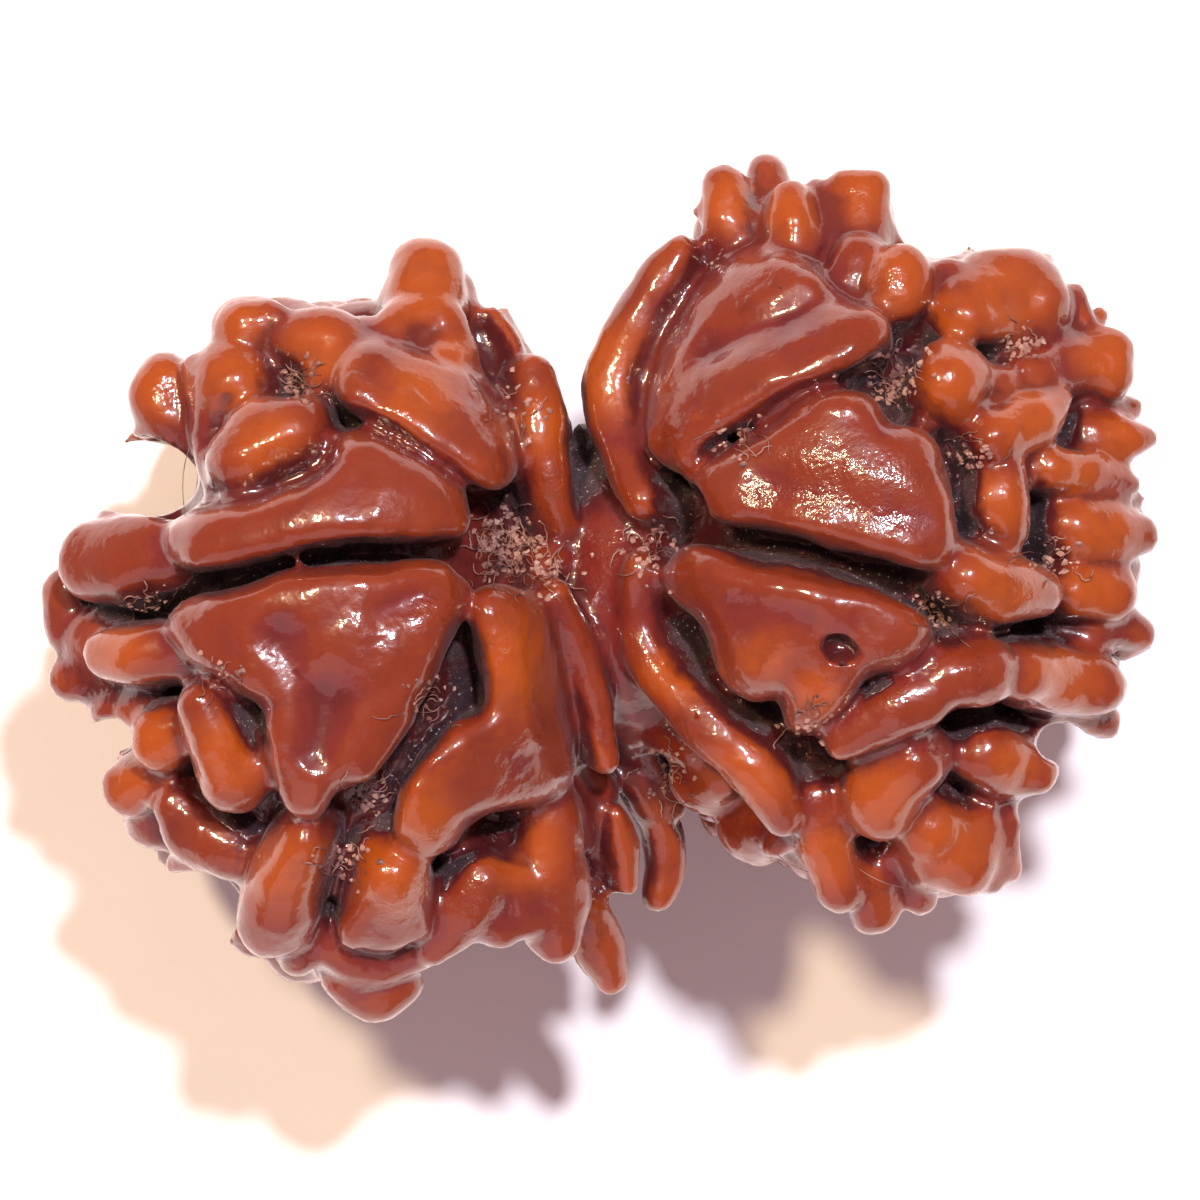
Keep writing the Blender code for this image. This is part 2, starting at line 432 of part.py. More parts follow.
def rim_reach(bead, lobes, longitude):
    """How far the outline of the drawn lobes reaches at a longitude, as a share of the egg."""
    reach = NOTCH_SHARE
    for line in lobes.values():
        x, y, width = max(line, key=lambda entry: plan_share(bead, entry[0], entry[1]))[:3]
        out = math.hypot(x - bead[0], y - bead[1])
        end = math.degrees(math.atan2((y - bead[1]) / REACH[1], (x - bead[0]) / REACH[0]))
        apart = abs((longitude - end + 180) % 360 - 180)
        if apart < math.degrees(width / out):
            reach = max(reach, plan_share(bead, x, y) * (1 + width / out))
    return reach


def flank_line(bead, lobes, latitude, longitude, draw):
    """One lobe of the flanks, as stations, with its size and heading drawn at random."""
    level = latitude + draw.uniform(-3, 3)
    width = draw.uniform(*FLANK_WIDTHS)
    length = draw.uniform(*FLANK_LENGTHS)
    heading = math.radians(draw.uniform(0, 180))
    depth = draw.uniform(*FLANK_DEPTHS)
    round_bead = math.cos(math.radians(level))
    turn = math.degrees(length / REACH[0])
    aside = turn * abs(math.cos(heading)) + math.degrees(width / REACH[0])
    reach = min(rim_reach(bead, lobes, longitude + aside * side) for side in (-0.6, 0, 0.6))
    radius = math.hypot(REACH[0] * math.cos(math.radians(longitude)),
                        REACH[1] * math.sin(math.radians(longitude)))
    depth = max(depth, (round_bead - reach) * radius + FLANK_INSET)
    return [(egg_point(bead, level + turn * share * math.sin(heading),
                       longitude + turn * share * math.cos(heading) / round_bead, width + depth),
             width * (1 - 0.15 * share), depth) for share in (-1, 0, 1)]


def flank(collection, bead, other, lobes, draw):
    """Rows of knobs and short bars down the sides, and bars round the lower end."""
    for row, (latitude, count) in enumerate(FLANK_ROWS):
        for i in range(count):
            longitude = 360 * (i + 0.5 * (row % 2)) / count + draw.uniform(-4, 4)
            line = flank_line(bead, lobes, latitude, longitude, draw)
            if not inside(other, line[1][0]):
                lobe(collection, "flank lobe", bead, line)
    for i in range(BASE_BARS):
        longitude = 360 * i / BASE_BARS + draw.uniform(-9, 9)
        line = []
        for latitude, share in ((-82, 0.7), (-76, 1.0), (-69, 0.85)):
            width = BASE_BAR_WIDTH * share
            line.append((egg_point(bead, latitude, longitude, width), width, 0.0))
        lobe(collection, "base bar", bead, line)


def pit(collection, bead, mouth, half, depth):
    """An egg that opens a pit, pointing straight into the bead."""
    middle = surface(bead, *mouth, 0.0)
    into = outward(bead, middle).to_track_quat("Z", "Y").to_matrix()
    egg(collection, "pit", middle, (half[0], half[1], depth), into)


def cut(stone, tools):
    """Takes every solid of a collection away from the stone, and then removes them."""
    away = stone.modifiers.new("taken away", "BOOLEAN")
    away.operation = "DIFFERENCE"
    away.operand_type = "COLLECTION"
    away.collection = tools
    away.solver = "MANIFOLD"
    apply_modifiers(stone)
    clear(tools)


def clear(collection):
    """Removes a collection and all that it holds."""
    for item in list(collection.objects):
        bpy.data.objects.remove(item)
    bpy.data.collections.remove(collection)


def new_collection(name):
    """An empty collection, linked to the scene."""
    collection = bpy.data.collections.new(name)
    bpy.context.scene.collection.children.link(collection)
    return collection


def apply_modifiers(item):
    """Makes what an object's modifiers show its own mesh."""
    view = bpy.context.evaluated_depsgraph_get()
    shown = bpy.data.meshes.new_from_object(item.evaluated_get(view))
    item.modifiers.clear()
    item.data = shown


def keep_outer_skin(mesh):
    """Drops loose scraps and the skins of sealed hollows: the largest skin stays."""
    bm = bmesh.new()
    bm.from_mesh(mesh)
    left = set(bm.verts)
    skins = []
    while left:
        skin = {left.pop()}
        edge_of = set(skin)
        while edge_of:
            edge_of = {e.other_vert(v) for v in edge_of for e in v.link_edges} - skin
            skin |= edge_of
        left -= skin
        skins.append(skin)
    skins.sort(key=len)
    bmesh.ops.delete(bm, geom=[vert for skin in skins[:-1] for vert in skin], context="VERTS")
    bm.to_mesh(mesh)
    bm.free()


def wood_finish():
    """The stone's own finish: waxed orange brown wood."""
    finish = bpy.data.materials.new("waxed_stone_wood")
    finish.use_nodes = True
    shader = finish.node_tree.nodes["Principled BSDF"]
    shader.inputs["Base Color"].default_value = (0.34, 0.075, 0.03, 1.0)
    shader.inputs["Roughness"].default_value = 0.35
    shader.inputs["Metallic"].default_value = 0.0
    return finish


def grow(part):
    """Both beads with all their lobes, as one object with one rough skin."""
    growth = new_collection("lobes")
    core = [size - GROOVE_DEPTH for size in REACH]
    stone = egg(part, "twin_bead", (*LEFT_MIDDLE, MIDDLE_HEIGHT), core)
    egg(growth, "right core", (*RIGHT_MIDDLE, MIDDLE_HEIGHT), core)
    egg(growth, "waist", (*WAIST_MIDDLE, MIDDLE_HEIGHT), WAIST_REACH)
    for bead, petals, lobes in ((LEFT_MIDDLE, LEFT_PETALS, LEFT_LOBES),
                                (RIGHT_MIDDLE, RIGHT_PETALS, RIGHT_LOBES)):
        for name, outline in petals.items():
            petal(growth, name, bead, outline)
        for name, line in lobes.items():
            plan_lobe(growth, name, bead, line)
    for name, line in WAIST_LOBES.items():
        plan_lobe(growth, name, LEFT_MIDDLE, line)
    draw = random.Random(FLANK_SEED)
    flank(growth, LEFT_MIDDLE, RIGHT_MIDDLE, LEFT_LOBES, draw)
    flank(growth, RIGHT_MIDDLE, LEFT_MIDDLE, RIGHT_LOBES, draw)
    join = stone.modifiers.new("grown together", "BOOLEAN")
    join.operation = "UNION"
    join.operand_type = "COLLECTION"
    join.collection = growth
    join.solver = "MANIFOLD"
    apply_modifiers(stone)
    clear(growth)
    return stone


def build():
    for item in list(bpy.data.objects):
        bpy.data.objects.remove(item)
    stone = grow(new_collection("twin_rudraksha"))
    tools = new_collection("pits")
    for bead, mouth, half, depth in PITS:
        pit(tools, bead, mouth, half, depth)
    for middle, half in CLEFTS:
        egg(tools, "cleft", (*middle, MIDDLE_HEIGHT), (*half, CLEFT_HALF_HEIGHT))
    cut(stone, tools)
    even = stone.modifiers.new("even skin", "REMESH")
    even.mode = "VOXEL"
    even.voxel_size = SKIN_GRAIN * MM
    apply_modifiers(stone)
    keep_outer_skin(stone.data)
    thin = stone.modifiers.new("fewer triangles", "DECIMATE")
    thin.ratio = TRIANGLES / sum(len(face.vertices) - 2 for face in stone.data.polygons)
    apply_modifiers(stone)

    # Set down: the pair along X, its box centred, and its lowest lobes cut flat at the ground.
    stone.data.transform(Matrix.Rotation(math.radians(-LIE_ANGLE), 4, "Z"))
    stone.data.transform(Matrix.Translation((-PLAN_CENTRE[0] * MM, -PLAN_CENTRE[1] * MM, 0)))
    ground = new_collection("ground")
    side, depth = GROUND_BOX
    bpy.ops.mesh.primitive_cube_add(size=1.0, location=(0, 0, -depth * MM / 2))
    box = bpy.context.object
    box.users_collection[0].objects.unlink(box)
    ground.objects.link(box)
    box.scale = (side * MM, side * MM, depth * MM)
    cut(stone, ground)
    stone.data.materials.clear()
    stone.data.materials.append(wood_finish())
    stone.data.shade_smooth()


build()
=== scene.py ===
# %% [markdown]
# # A twin rudraksha stone, grown in Blender
#
# The object is a bare fruit stone: two rudraksha beads that grew together side by
# side. It is one solid piece of wood-like stone with a waxed skin. Seen from above,
# large flat petals and rounded bars radiate from the two stringing holes, and round
# lobes and teeth crowd the sides. Dried fibre is left in the grooves.
#
# Each lesson cell says what the next step makes, and why it is made that way.

# %% Load the solid model that this scene dresses
import math
import random

import bmesh
import bpy
import numpy as np
from mathutils import Matrix, Vector, noise
from mathutils.bvhtree import BVHTree


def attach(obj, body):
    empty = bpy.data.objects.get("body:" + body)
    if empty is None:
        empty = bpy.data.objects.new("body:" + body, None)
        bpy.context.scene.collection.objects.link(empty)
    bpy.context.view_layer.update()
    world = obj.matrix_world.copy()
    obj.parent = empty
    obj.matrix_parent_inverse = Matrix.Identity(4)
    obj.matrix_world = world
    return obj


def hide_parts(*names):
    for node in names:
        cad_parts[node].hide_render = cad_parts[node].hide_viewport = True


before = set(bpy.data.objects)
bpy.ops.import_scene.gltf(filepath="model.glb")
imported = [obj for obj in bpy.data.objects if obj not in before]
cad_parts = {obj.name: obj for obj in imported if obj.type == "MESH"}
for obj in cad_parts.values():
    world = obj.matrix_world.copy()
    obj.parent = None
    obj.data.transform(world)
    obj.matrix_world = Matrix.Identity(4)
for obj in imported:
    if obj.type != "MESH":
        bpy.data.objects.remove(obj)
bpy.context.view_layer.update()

# %% [markdown]
# ## The stone's sizes
#
# All lengths are millimetres. The plan below is the stone as it lies when it is
# looked down on. Each bead is thought of as an egg: the lobes' tops reach the egg's
# surface, and the grooves between them go down to a smaller egg inside it.
# So a lobe needs only its place in the plan and its width, and the egg gives its height.

# %% Sizes of the beads
MM = 0.001
LEFT_MIDDLE = (-7.6, -1.0)
RIGHT_MIDDLE = (7.7, 1.7)
MIDDLE_HEIGHT = 10.4
REACH = (9.1, 11.8, 10.8)        # half sizes of the egg that a bead's lobes reach out to
GROOVE_DEPTH = 2.7               # from the lobes' tops to the floor of the grooves
ROOT_DEPTH = 3.3                 # a lobe's foot is sunk this far below the lobes' tops
BURIAL_DEPTH = 1.62              # lobes this far inside the other bead are left out
LIE_ANGLE = 9.6                  # the pair rises to the right in the plan by this angle
PLAN_CENTRE = (0.321, 0.301)     # middle of the turned stone's box, moved to the origin
RIM_SHARE = 0.8                  # past this share of the egg's plan, lobes stand out from it
RIM_FALL = 0.8                   # and fall by this much for each millimetre outwards
RIM_LIFT = 0.75                  # a lobe's foot at the rim is higher by this share of its depth
UPRIGHT = 0.6                    # how far the feet of the drawn lobes turn from inward to down
FOOT_FLARE = 0.7                 # how much wider a lobe gets towards its foot
STALK_SHARE = 0.45               # a lobe's stalk runs this far from it to the bead's middle
PETAL_EDGE = 0.75                # width of the rounding along a petal's rim
PETAL_DROP = 0.95                # how far the rim rolls down over that width
PETAL_SKIRT = 3.4                # a petal's underside is sunk this far

# Every line of a lobe is a list of (x, y, half width, depth below the lobes' tops).
LEFT_PETALS = {
    "upper": [(-7.8, 6.4), (-7.5, 7.4), (-6.5, 7.9), (-5.1, 7.3), (-3.7, 6.9), (-3.0, 5.7),
              (-2.5, 3.9), (-3.2, 3.3), (-4.6, 4.1), (-6.0, 5.0), (-7.4, 5.7)],
    "long": [(-12.9, 1.9), (-12.0, 2.7), (-10.2, 2.9), (-9.0, 3.3), (-8.1, 3.9), (-7.8, 4.7),
             (-7.2, 5.05), (-6.2, 4.7), (-4.8, 3.9), (-4.1, 3.1), (-4.1, 2.0), (-6.0, 1.8),
             (-8.7, 1.5), (-10.5, 1.1), (-12.2, 1.0)],
    "broad": [(-12.8, -0.7), (-11.9, 0.0), (-10.2, 0.5), (-8.7, 1.0), (-6.0, 1.1), (-4.6, 1.0),
              (-4.0, 0.2), (-4.3, -0.9), (-5.3, -2.9), (-6.4, -4.5), (-7.3, -5.4), (-7.9, -5.6),
              (-8.3, -6.4), (-8.9, -6.4), (-9.4, -5.6), (-9.8, -4.4), (-9.9, -3.2), (-11.0, -2.5),
              (-12.4, -1.5)],
    "boot": [(-3.2, 0.3), (-1.8, 0.0), (-1.4, -1.3), (-0.9, -4.3), (-1.0, -5.4), (-1.8, -6.0),
             (-3.3, -6.3), (-4.0, -6.7), (-4.5, -7.4), (-5.2, -7.6), (-6.0, -7.0), (-6.0, -6.0),
             (-5.3, -4.7), (-4.3, -3.7), (-3.4, -3.2), (-3.5, -1.6), (-3.7, -0.3)],
}
RIGHT_PETALS = {
    "round": [(5.0, 10.6), (6.0, 10.2), (7.4, 8.9), (8.4, 8.3), (8.5, 7.7), (7.4, 6.9),
              (5.2, 5.8), (3.2, 4.6), (2.7, 3.9), (2.1, 4.0), (1.6, 4.7), (1.6, 6.4),
              (2.1, 7.9), (3.0, 9.4), (4.0, 10.2)],
    "rough": [(2.7, 3.3), (3.0, 4.0), (4.5, 4.8), (6.0, 5.9), (7.1, 6.2), (8.0, 5.9),
              (8.6, 5.2), (9.7, 5.0), (10.3, 3.5), (10.4, 1.7), (9.9, 1.0), (8.1, 1.3),
              (6.0, 1.9), (3.6, 2.4)],
    "pitted": [(2.0, 0.9), (2.9, 1.6), (4.8, 1.1), (7.5, 0.4), (9.5, -0.4), (9.8, -1.1),
               (9.3, -1.8), (7.9, -2.2), (7.1, -3.2), (6.4, -3.9), (5.7, -3.7), (5.4, -2.8),
               (4.4, -2.8), (3.6, -2.1), (3.1, -0.7), (2.2, 0.1)],
}
LEFT_LOBES = {
    "seam bar": [(-2.1, 6.7, 0.66), (-1.85, 5.4, 0.78), (-1.65, 4.2, 0.72, 0.2),
                 (-1.4, 2.9, 0.62, 0.6), (-1.1, 1.9, 0.55, 1.0)],
    "seam fin": [(-3.2, 8.5, 0.35, 1.2), (-2.6, 7.6, 0.38, 1.0), (-2.4, 6.6, 0.35, 0.9)],
    "seam fin two": [(-2.9, 8.6, 0.3, 1.7), (-2.3, 7.4, 0.35, 1.5), (-1.7, 6.2, 0.3, 1.3)],
    "seam flake": [(-1.55, 6.0, 0.25, 1.4), (-1.1, 5.0, 0.28, 1.2)],
    "seam back": [(-3.5, 8.1, 0.5, 1.8), (-3.3, 6.9, 0.5, 1.8)],
    "seam foot": [(-0.5, 5.0, 0.35, 2.0), (-0.6, 4.0, 0.4, 2.0)],
    "thin bar": [(-1.3, 0.1, 0.5), (-0.6, -1.4, 0.48), (-0.1, -3.1, 0.46), (0.25, -4.8, 0.38)],
    "ear": [(-6.4, 7.5, 0.6, 0.3), (-6.0, 8.2, 0.62, 0.3), (-5.3, 8.4, 0.66, 0.3),
            (-4.6, 8.2, 0.66, 0.3), (-4.2, 7.2, 0.62, 0.35)],
    "ear bowl": [(-5.5, 7.6, 0.8, 0.65), (-4.8, 7.4, 0.8, 0.6)],
    "ear bead": [(-4.7, 7.1, 0.55, 0.2), (-4.4, 7.0, 0.55, 0.2)],
    "tall finger": [(-5.2, 9.65, 1.15, 0.5), (-5.25, 8.9, 1.36, 0.5), (-5.2, 7.8, 1.2, 1.6)],
    "finger behind": [(-4.2, 9.3, 0.5, 1.6), (-4.1, 8.4, 0.6, 1.6)],
    "shoulder": [(-8.8, 7.7, 0.9), (-8.0, 7.5, 1.0), (-7.9, 6.6, 0.85, 0.5)],
    "shoulder nib": [(-7.0, 8.2, 0.3, 0.6), (-7.1, 7.6, 0.35, 0.6)],
    "corner knob": [(-10.4, 8.1, 0.85), (-9.7, 7.4, 0.8, 1.2)],
    "corner nib": [(-9.75, 8.5, 0.45), (-9.3, 8.0, 0.45, 0.8)],
    "upper ear": [(-11.0, 6.4, 1.22), (-10.4, 5.9, 1.2, 0.7)],
    "outer ear": [(-13.0, 6.6, 0.8, 0.8), (-13.2, 5.8, 0.87, 0.8), (-12.2, 4.9, 0.8, 1.6)],
    "outer nib": [(-12.7, 4.6, 0.35, 1.6), (-12.2, 4.3, 0.4, 2.0)],
    "pale rib": [(-12.1, 7.0, 0.4, 0.6), (-11.9, 6.2, 0.42, 0.6), (-11.6, 5.2, 0.4, 0.9)],
    "back wall": [(-11.9, 5.3, 0.4, 1.2), (-11.4, 3.4, 0.4, 1.2)],
    "inner ear": [(-10.5, 4.15, 1.1), (-9.8, 4.65, 1.38), (-9.2, 4.85, 1.15)],
    "west knob": [(-15.0, 1.15, 1.15), (-13.8, 1.15, 1.22), (-12.4, 1.2, 0.9, 0.9)],
    "west nib": [(-14.1, 2.15, 0.3, 0.6), (-12.7, 2.05, 0.3, 0.8)],
    "west back": [(-15.9, 0.2, 0.8, 1.6), (-15.85, -0.9, 0.78, 1.7)],
    "west toe": [(-14.6, -1.6, 0.72), (-13.6, -1.6, 0.85), (-12.4, -1.5, 0.8, 0.7)],
    "west heel": [(-15.75, -2.35, 0.75, 1.5), (-14.6, -2.3, 0.75, 1.7)],
    "west web": [(-15.2, -1.4, 0.6, 2.0), (-14.2, -1.1, 0.6, 2.0)],
    "small nib": [(-14.0, -3.3, 0.45, 1.4), (-13.4, -3.0, 0.5, 1.6)],
    "bright knob": [(-13.1, -4.2, 0.85, 0.5), (-12.5, -3.8, 0.85, 1.0)],
    "bright finger": [(-14.15, -5.65, 0.78, 1.2), (-13.1, -5.0, 0.8, 1.4)],
    "drop": [(-11.7, -3.2, 0.78), (-11.3, -4.2, 0.92), (-10.8, -5.2, 1.12)],
    "layered knob": [(-12.6, -6.1, 0.75, 1.0), (-12.0, -6.7, 1.05, 0.9), (-11.0, -7.3, 1.0, 0.9)],
    "broad leg": [(-9.2, -3.6, 0.6, 0.1), (-9.05, -4.8, 0.6, 0.1), (-8.8, -5.85, 0.55, 0.1)],
    "broad toe": [(-6.3, -3.4, 0.8, 0.1), (-7.2, -4.7, 0.65, 0.1)],
    "south west": [(-8.8, -7.2, 0.75, 0.2), (-9.3, -8.3, 1.0), (-9.65, -9.55, 1.08)],
    "south west nib": [(-9.0, -10.6, 0.62, 1.0), (-8.7, -9.6, 0.7, 1.2)],
    "south knob": [(-6.2, -8.0, 1.1, 0.1), (-6.35, -8.8, 1.3, 0.1), (-6.45, -9.3, 1.15, 0.1)],
    "south toe left": [(-7.3, -9.9, 0.5, 0.2), (-6.8, -9.0, 0.6, 0.2)],
    "south toe right": [(-5.5, -9.7, 0.5, 0.2), (-5.8, -8.9, 0.65, 0.2)],
    "south band": [(-7.9, -10.4, 0.6, 1.1), (-6.7, -10.9, 0.6, 1.1), (-5.3, -10.6, 0.5, 1.1)],
    "south foot": [(-7.5, -11.3, 0.85, 1.5), (-6.8, -11.75, 0.92, 1.5), (-6.0, -11.4, 0.75, 1.6)],
    "south fin": [(-3.5, -8.3, 0.85, 0.3), (-4.2, -9.3, 0.95, 0.3), (-5.0, -10.5, 0.45, 0.6)],
    "south fin root": [(-3.7, -9.2, 0.75, 0.5), (-3.0, -9.8, 0.55, 0.5)],
    "great fin": [(-1.5, -6.7, 0.95, 0.4), (-1.6, -8.0, 1.25, 0.1), (-1.5, -9.3, 1.2, 0.1),
                  (-1.2, -10.3, 0.7, 0.1)],
    "great fin side": [(-2.7, -8.4, 0.85, 0.3), (-2.2, -9.3, 0.8, 0.3)],
    "south east finger": [(-0.3, -9.4, 0.7, 1.4), (0.0, -10.5, 0.8, 1.4), (0.3, -11.35, 0.58, 1.4)],
    "waist finger": [(0.4, -6.4, 0.42, 1.3), (0.7, -7.4, 0.5, 1.3), (0.75, -8.5, 0.42, 1.4)],
    "waist top": [(-0.8, -4.9, 0.6, 1.9), (-0.1, -5.8, 0.65, 2.1)],
    "waist back": [(-0.5, -6.2, 0.5, 2.2), (-0.2, -7.4, 0.5, 2.2), (0.1, -8.5, 0.4, 2.2)],
    "waist fin": [(1.0, -5.4, 0.5, 2.3), (1.8, -6.8, 0.65, 2.3), (2.0, -7.9, 0.76, 2.3),
                  (1.75, -8.85, 0.6, 2.3)],
    "waist fold": [(1.4, -4.6, 0.45, 1.9), (2.0, -5.5, 0.4, 1.9), (2.3, -6.3, 0.3, 1.9)],
}
RIGHT_LOBES = {
    "seam bar": [(2.4, 10.4, 0.5), (2.0, 9.7, 0.72), (1.1, 8.2, 0.9), (0.45, 6.3, 0.92),
                 (0.7, 4.4, 0.7), (1.3, 2.9, 0.5)],
    "south bar": [(1.2, 0.9, 0.55), (1.2, -0.5, 0.7), (1.75, -2.0, 0.78), (3.1, -3.6, 0.8),
                  (4.6, -5.1, 0.82), (5.4, -6.3, 0.65)],
    "pitted ridge": [(2.7, 0.75, 0.55), (4.2, 0.5, 0.7), (6.5, -0.1, 0.75), (8.6, -1.0, 0.7)],
    "pitted toe": [(4.7, -1.0, 0.55, 0.2), (4.3, -2.2, 0.5, 0.2)],
    "pitted toe two": [(6.4, -2.2, 0.5, 0.2), (6.05, -3.3, 0.5, 0.2)],
    "petal fold": [(7.9, 7.9, 0.75), (6.0, 7.1, 0.72), (3.6, 5.9, 0.65), (2.0, 4.7, 0.5)],
    "north knob": [(3.7, 12.2, 0.78, 0.2), (3.8, 11.4, 0.87, 0.2), (4.0, 10.6, 0.8, 0.8)],
    "north nib": [(2.9, 11.6, 0.25, 0.8), (3.3, 11.2, 0.3, 1.0)],
    "north back": [(5.0, 12.75, 0.68, 1.4), (5.1, 11.8, 0.7, 1.4)],
    "north finger": [(5.6, 11.95, 0.62), (5.7, 11.2, 0.75), (5.95, 10.4, 0.7, 0.5)],
    "north wall": [(6.5, 12.1, 0.45, 1.2), (6.7, 10.8, 0.5, 1.0)],
    "square knob": [(7.45, 12.25, 0.68, 0.6), (8.05, 12.25, 0.66, 0.6)],
    "square knob root": [(7.8, 12.1, 0.8, 0.6), (7.8, 10.9, 0.85, 0.9)],
    "link knob": [(7.7, 10.1, 0.7, 0.4), (7.4, 9.3, 0.75, 0.8)],
    "round knob": [(8.9, 9.65, 0.92), (8.75, 9.1, 0.95, 0.3)],
    "great knob": [(10.95, 8.75, 0.95), (11.6, 9.1, 1.25), (12.45, 9.15, 1.3), (13.0, 8.75, 1.0)],
    "great knob low": [(10.9, 8.4, 0.72, 0.15), (12.2, 8.3, 0.8, 0.3)],
    "great knob bud": [(10.4, 9.75, 0.45, 0.3), (10.9, 9.3, 0.5, 0.4)],
    "great knob nib": [(13.2, 10.05, 0.35, 0.8), (13.0, 9.3, 0.5, 0.8)],
    "pink rib": [(14.2, 9.1, 0.4, 0.6), (14.4, 8.3, 0.45, 0.6)],
    "pink rib two": [(14.9, 8.5, 0.35, 1.2), (14.7, 7.9, 0.4, 1.2)],
    "east ear": [(15.1, 7.35, 0.85), (15.15, 6.7, 0.78)],
    "east saddle": [(12.7, 6.7, 0.72, 0.3), (13.7, 6.95, 0.92, 0.25), (14.6, 7.0, 0.88, 0.2)],
    "east lip": [(15.9, 5.7, 0.4, 1.2), (14.9, 5.7, 0.5, 1.2)],
    "tooth one": [(16.35, 4.85, 0.4, 0.3), (15.6, 4.85, 0.72, 0.3), (14.6, 4.95, 0.7, 0.7)],
    "tooth two": [(13.8, 6.05, 0.3, 0.1), (12.9, 5.4, 0.82, 0.1), (11.7, 4.85, 0.78, 0.3)],
    "dome": [(10.3, 6.35, 1.08, 0.1), (10.1, 6.1, 1.08, 0.5)],
    "dome bridge": [(12.1, 6.5, 0.45, 0.7), (11.4, 6.4, 0.5, 0.7)],
    "tooth three": [(15.9, 3.45, 0.38, 0.5), (15.2, 3.6, 0.6, 0.4), (14.4, 3.8, 0.66, 0.3),
                    (13.3, 3.9, 0.6, 0.5)],
    "tooth nib": [(15.9, 3.0, 0.42, 1.2), (14.9, 3.0, 0.5, 1.2)],
    "east finger": [(16.05, 1.95, 0.66, 0.2), (15.2, 2.0, 1.05, 0.1), (14.0, 2.1, 0.95, 0.4)],
    "inner knob": [(11.9, 3.7, 0.75, 0.7), (11.8, 2.9, 0.92, 0.5), (11.9, 2.2, 0.78, 0.8)],
    "long knob": [(10.9, 0.7, 0.8), (11.8, 0.35, 1.0), (12.9, 0.3, 0.8, 0.3)],
    "long knob east": [(14.1, 0.3, 0.75, 0.3), (15.1, 0.25, 0.9, 0.1)],
    "south east lip": [(15.3, -0.6, 0.7, 0.9), (16.1, -1.0, 0.52, 0.9)],
    "south east lip two": [(15.6, -1.3, 0.5, 1.5), (16.2, -1.2, 0.42, 1.5)],
    "chain west": [(7.2, -4.25, 0.58, 0.1), (8.2, -3.6, 0.8, 0.1), (9.5, -2.9, 0.86)],
    "chain middle": [(10.3, -2.2, 0.85), (11.3, -2.1, 1.0)],
    "chain east": [(12.5, -2.2, 0.75), (13.6, -2.35, 0.98), (14.8, -2.5, 0.86)],
    "chain nib": [(15.1, -3.7, 0.55, 1.4), (14.4, -3.4, 0.5, 1.4)],
    "lower ear": [(11.4, -4.5, 0.95, 0.5), (12.2, -4.9, 1.08, 0.4), (13.0, -5.15, 0.62, 0.4)],
    "lower knob": [(9.3, -4.9, 0.85, 0.1), (8.5, -5.5, 1.18, 0.1), (8.35, -6.1, 1.05, 0.1)],
    "low wing": [(9.7, -6.8, 1.05, 0.1), (10.2, -7.3, 1.36, 0.1), (10.75, -7.65, 1.15, 0.1)],
    "low fin one": [(11.5, -6.7, 0.5, 0.7), (11.6, -8.2, 0.55, 0.7)],
    "low fin two": [(12.2, -6.7, 0.45, 1.0), (12.2, -8.0, 0.48, 1.0)],
    "south finger": [(6.5, -5.9, 0.55, 0.9), (6.7, -7.1, 0.85, 0.2), (7.1, -8.5, 0.76, 0.1)],
    "south toe": [(8.2, -9.25, 0.74, 0.8), (8.0, -8.3, 0.8, 0.8)],
    "south toe two": [(9.6, -8.85, 0.6, 1.3), (9.4, -8.1, 0.65, 1.3)],
    "south web": [(5.2, -7.3, 0.35, 0.9), (5.8, -6.6, 0.5, 0.9)],
}
WAIST_LOBES = {
    "bridge": [(-1.6, 1.0, 0.6, 1.0), (-0.4, 1.2, 0.7, 1.2), (0.8, 1.4, 0.6, 1.3)],
    "bridge two": [(-1.3, 2.2, 0.5, 1.3), (0.0, 2.3, 0.5, 1.8), (1.0, 2.3, 0.45, 1.6)],
}

# Valleys (+) and crests (-) pressed into the petals: (x, y) to (x, y), half width, depth.
FOLDS = [
    ((-9.3, -1.2), (-8.1, -3.0), 0.75, 0.35),
    ((-8.1, -3.0), (-8.4, -4.4), 0.6, 0.5),
    ((-6.4, -0.2), (-5.0, 0.2), 0.35, 0.3),
    ((-2.4, -1.6), (-2.2, -4.0), 0.5, -0.25),
    ((7.0, 9.0), (3.4, 7.4), 0.5, 0.5),
    ((5.0, 3.2), (9.4, 2.4), 0.6, 0.25),
    ((3.0, 0.8), (6.2, 0.0), 0.4, -0.2),
]
# Open pits: middle of the mouth (x, y), half sizes (across x, across y), depth.
PITS = [
    (RIGHT_MIDDLE, (2.15, 2.9), (0.7, 1.0), 4.0),
    (LEFT_MIDDLE, (-3.6, 1.2), (0.4, 0.4), 2.6),
    (RIGHT_MIDDLE, (7.1, -1.5), (0.6, 0.38), 0.9),
]
# Deep clefts down the flanks, open to the ground: middle (x, y), half sizes (x, y).
CLEFTS = [
    ((-13.8, 3.65), (1.85, 1.25)),
    ((-14.6, -4.1), (0.75, 0.55)),
    ((-12.25, -9.3), (1.6, 1.35)),
    ((10.1, 11.6), (1.35, 1.5)),
    ((13.75, -4.3), (0.85, 0.65)),
]
CLEFT_HALF_HEIGHT = 14.0         # long enough to leave a cleft's walls nearly upright
# The body that fuses the two beads, an egg drawn in below every lobe.
WAIST_MIDDLE = (0.9, 0.2)
WAIST_REACH = (3.6, 5.2, 6.2)

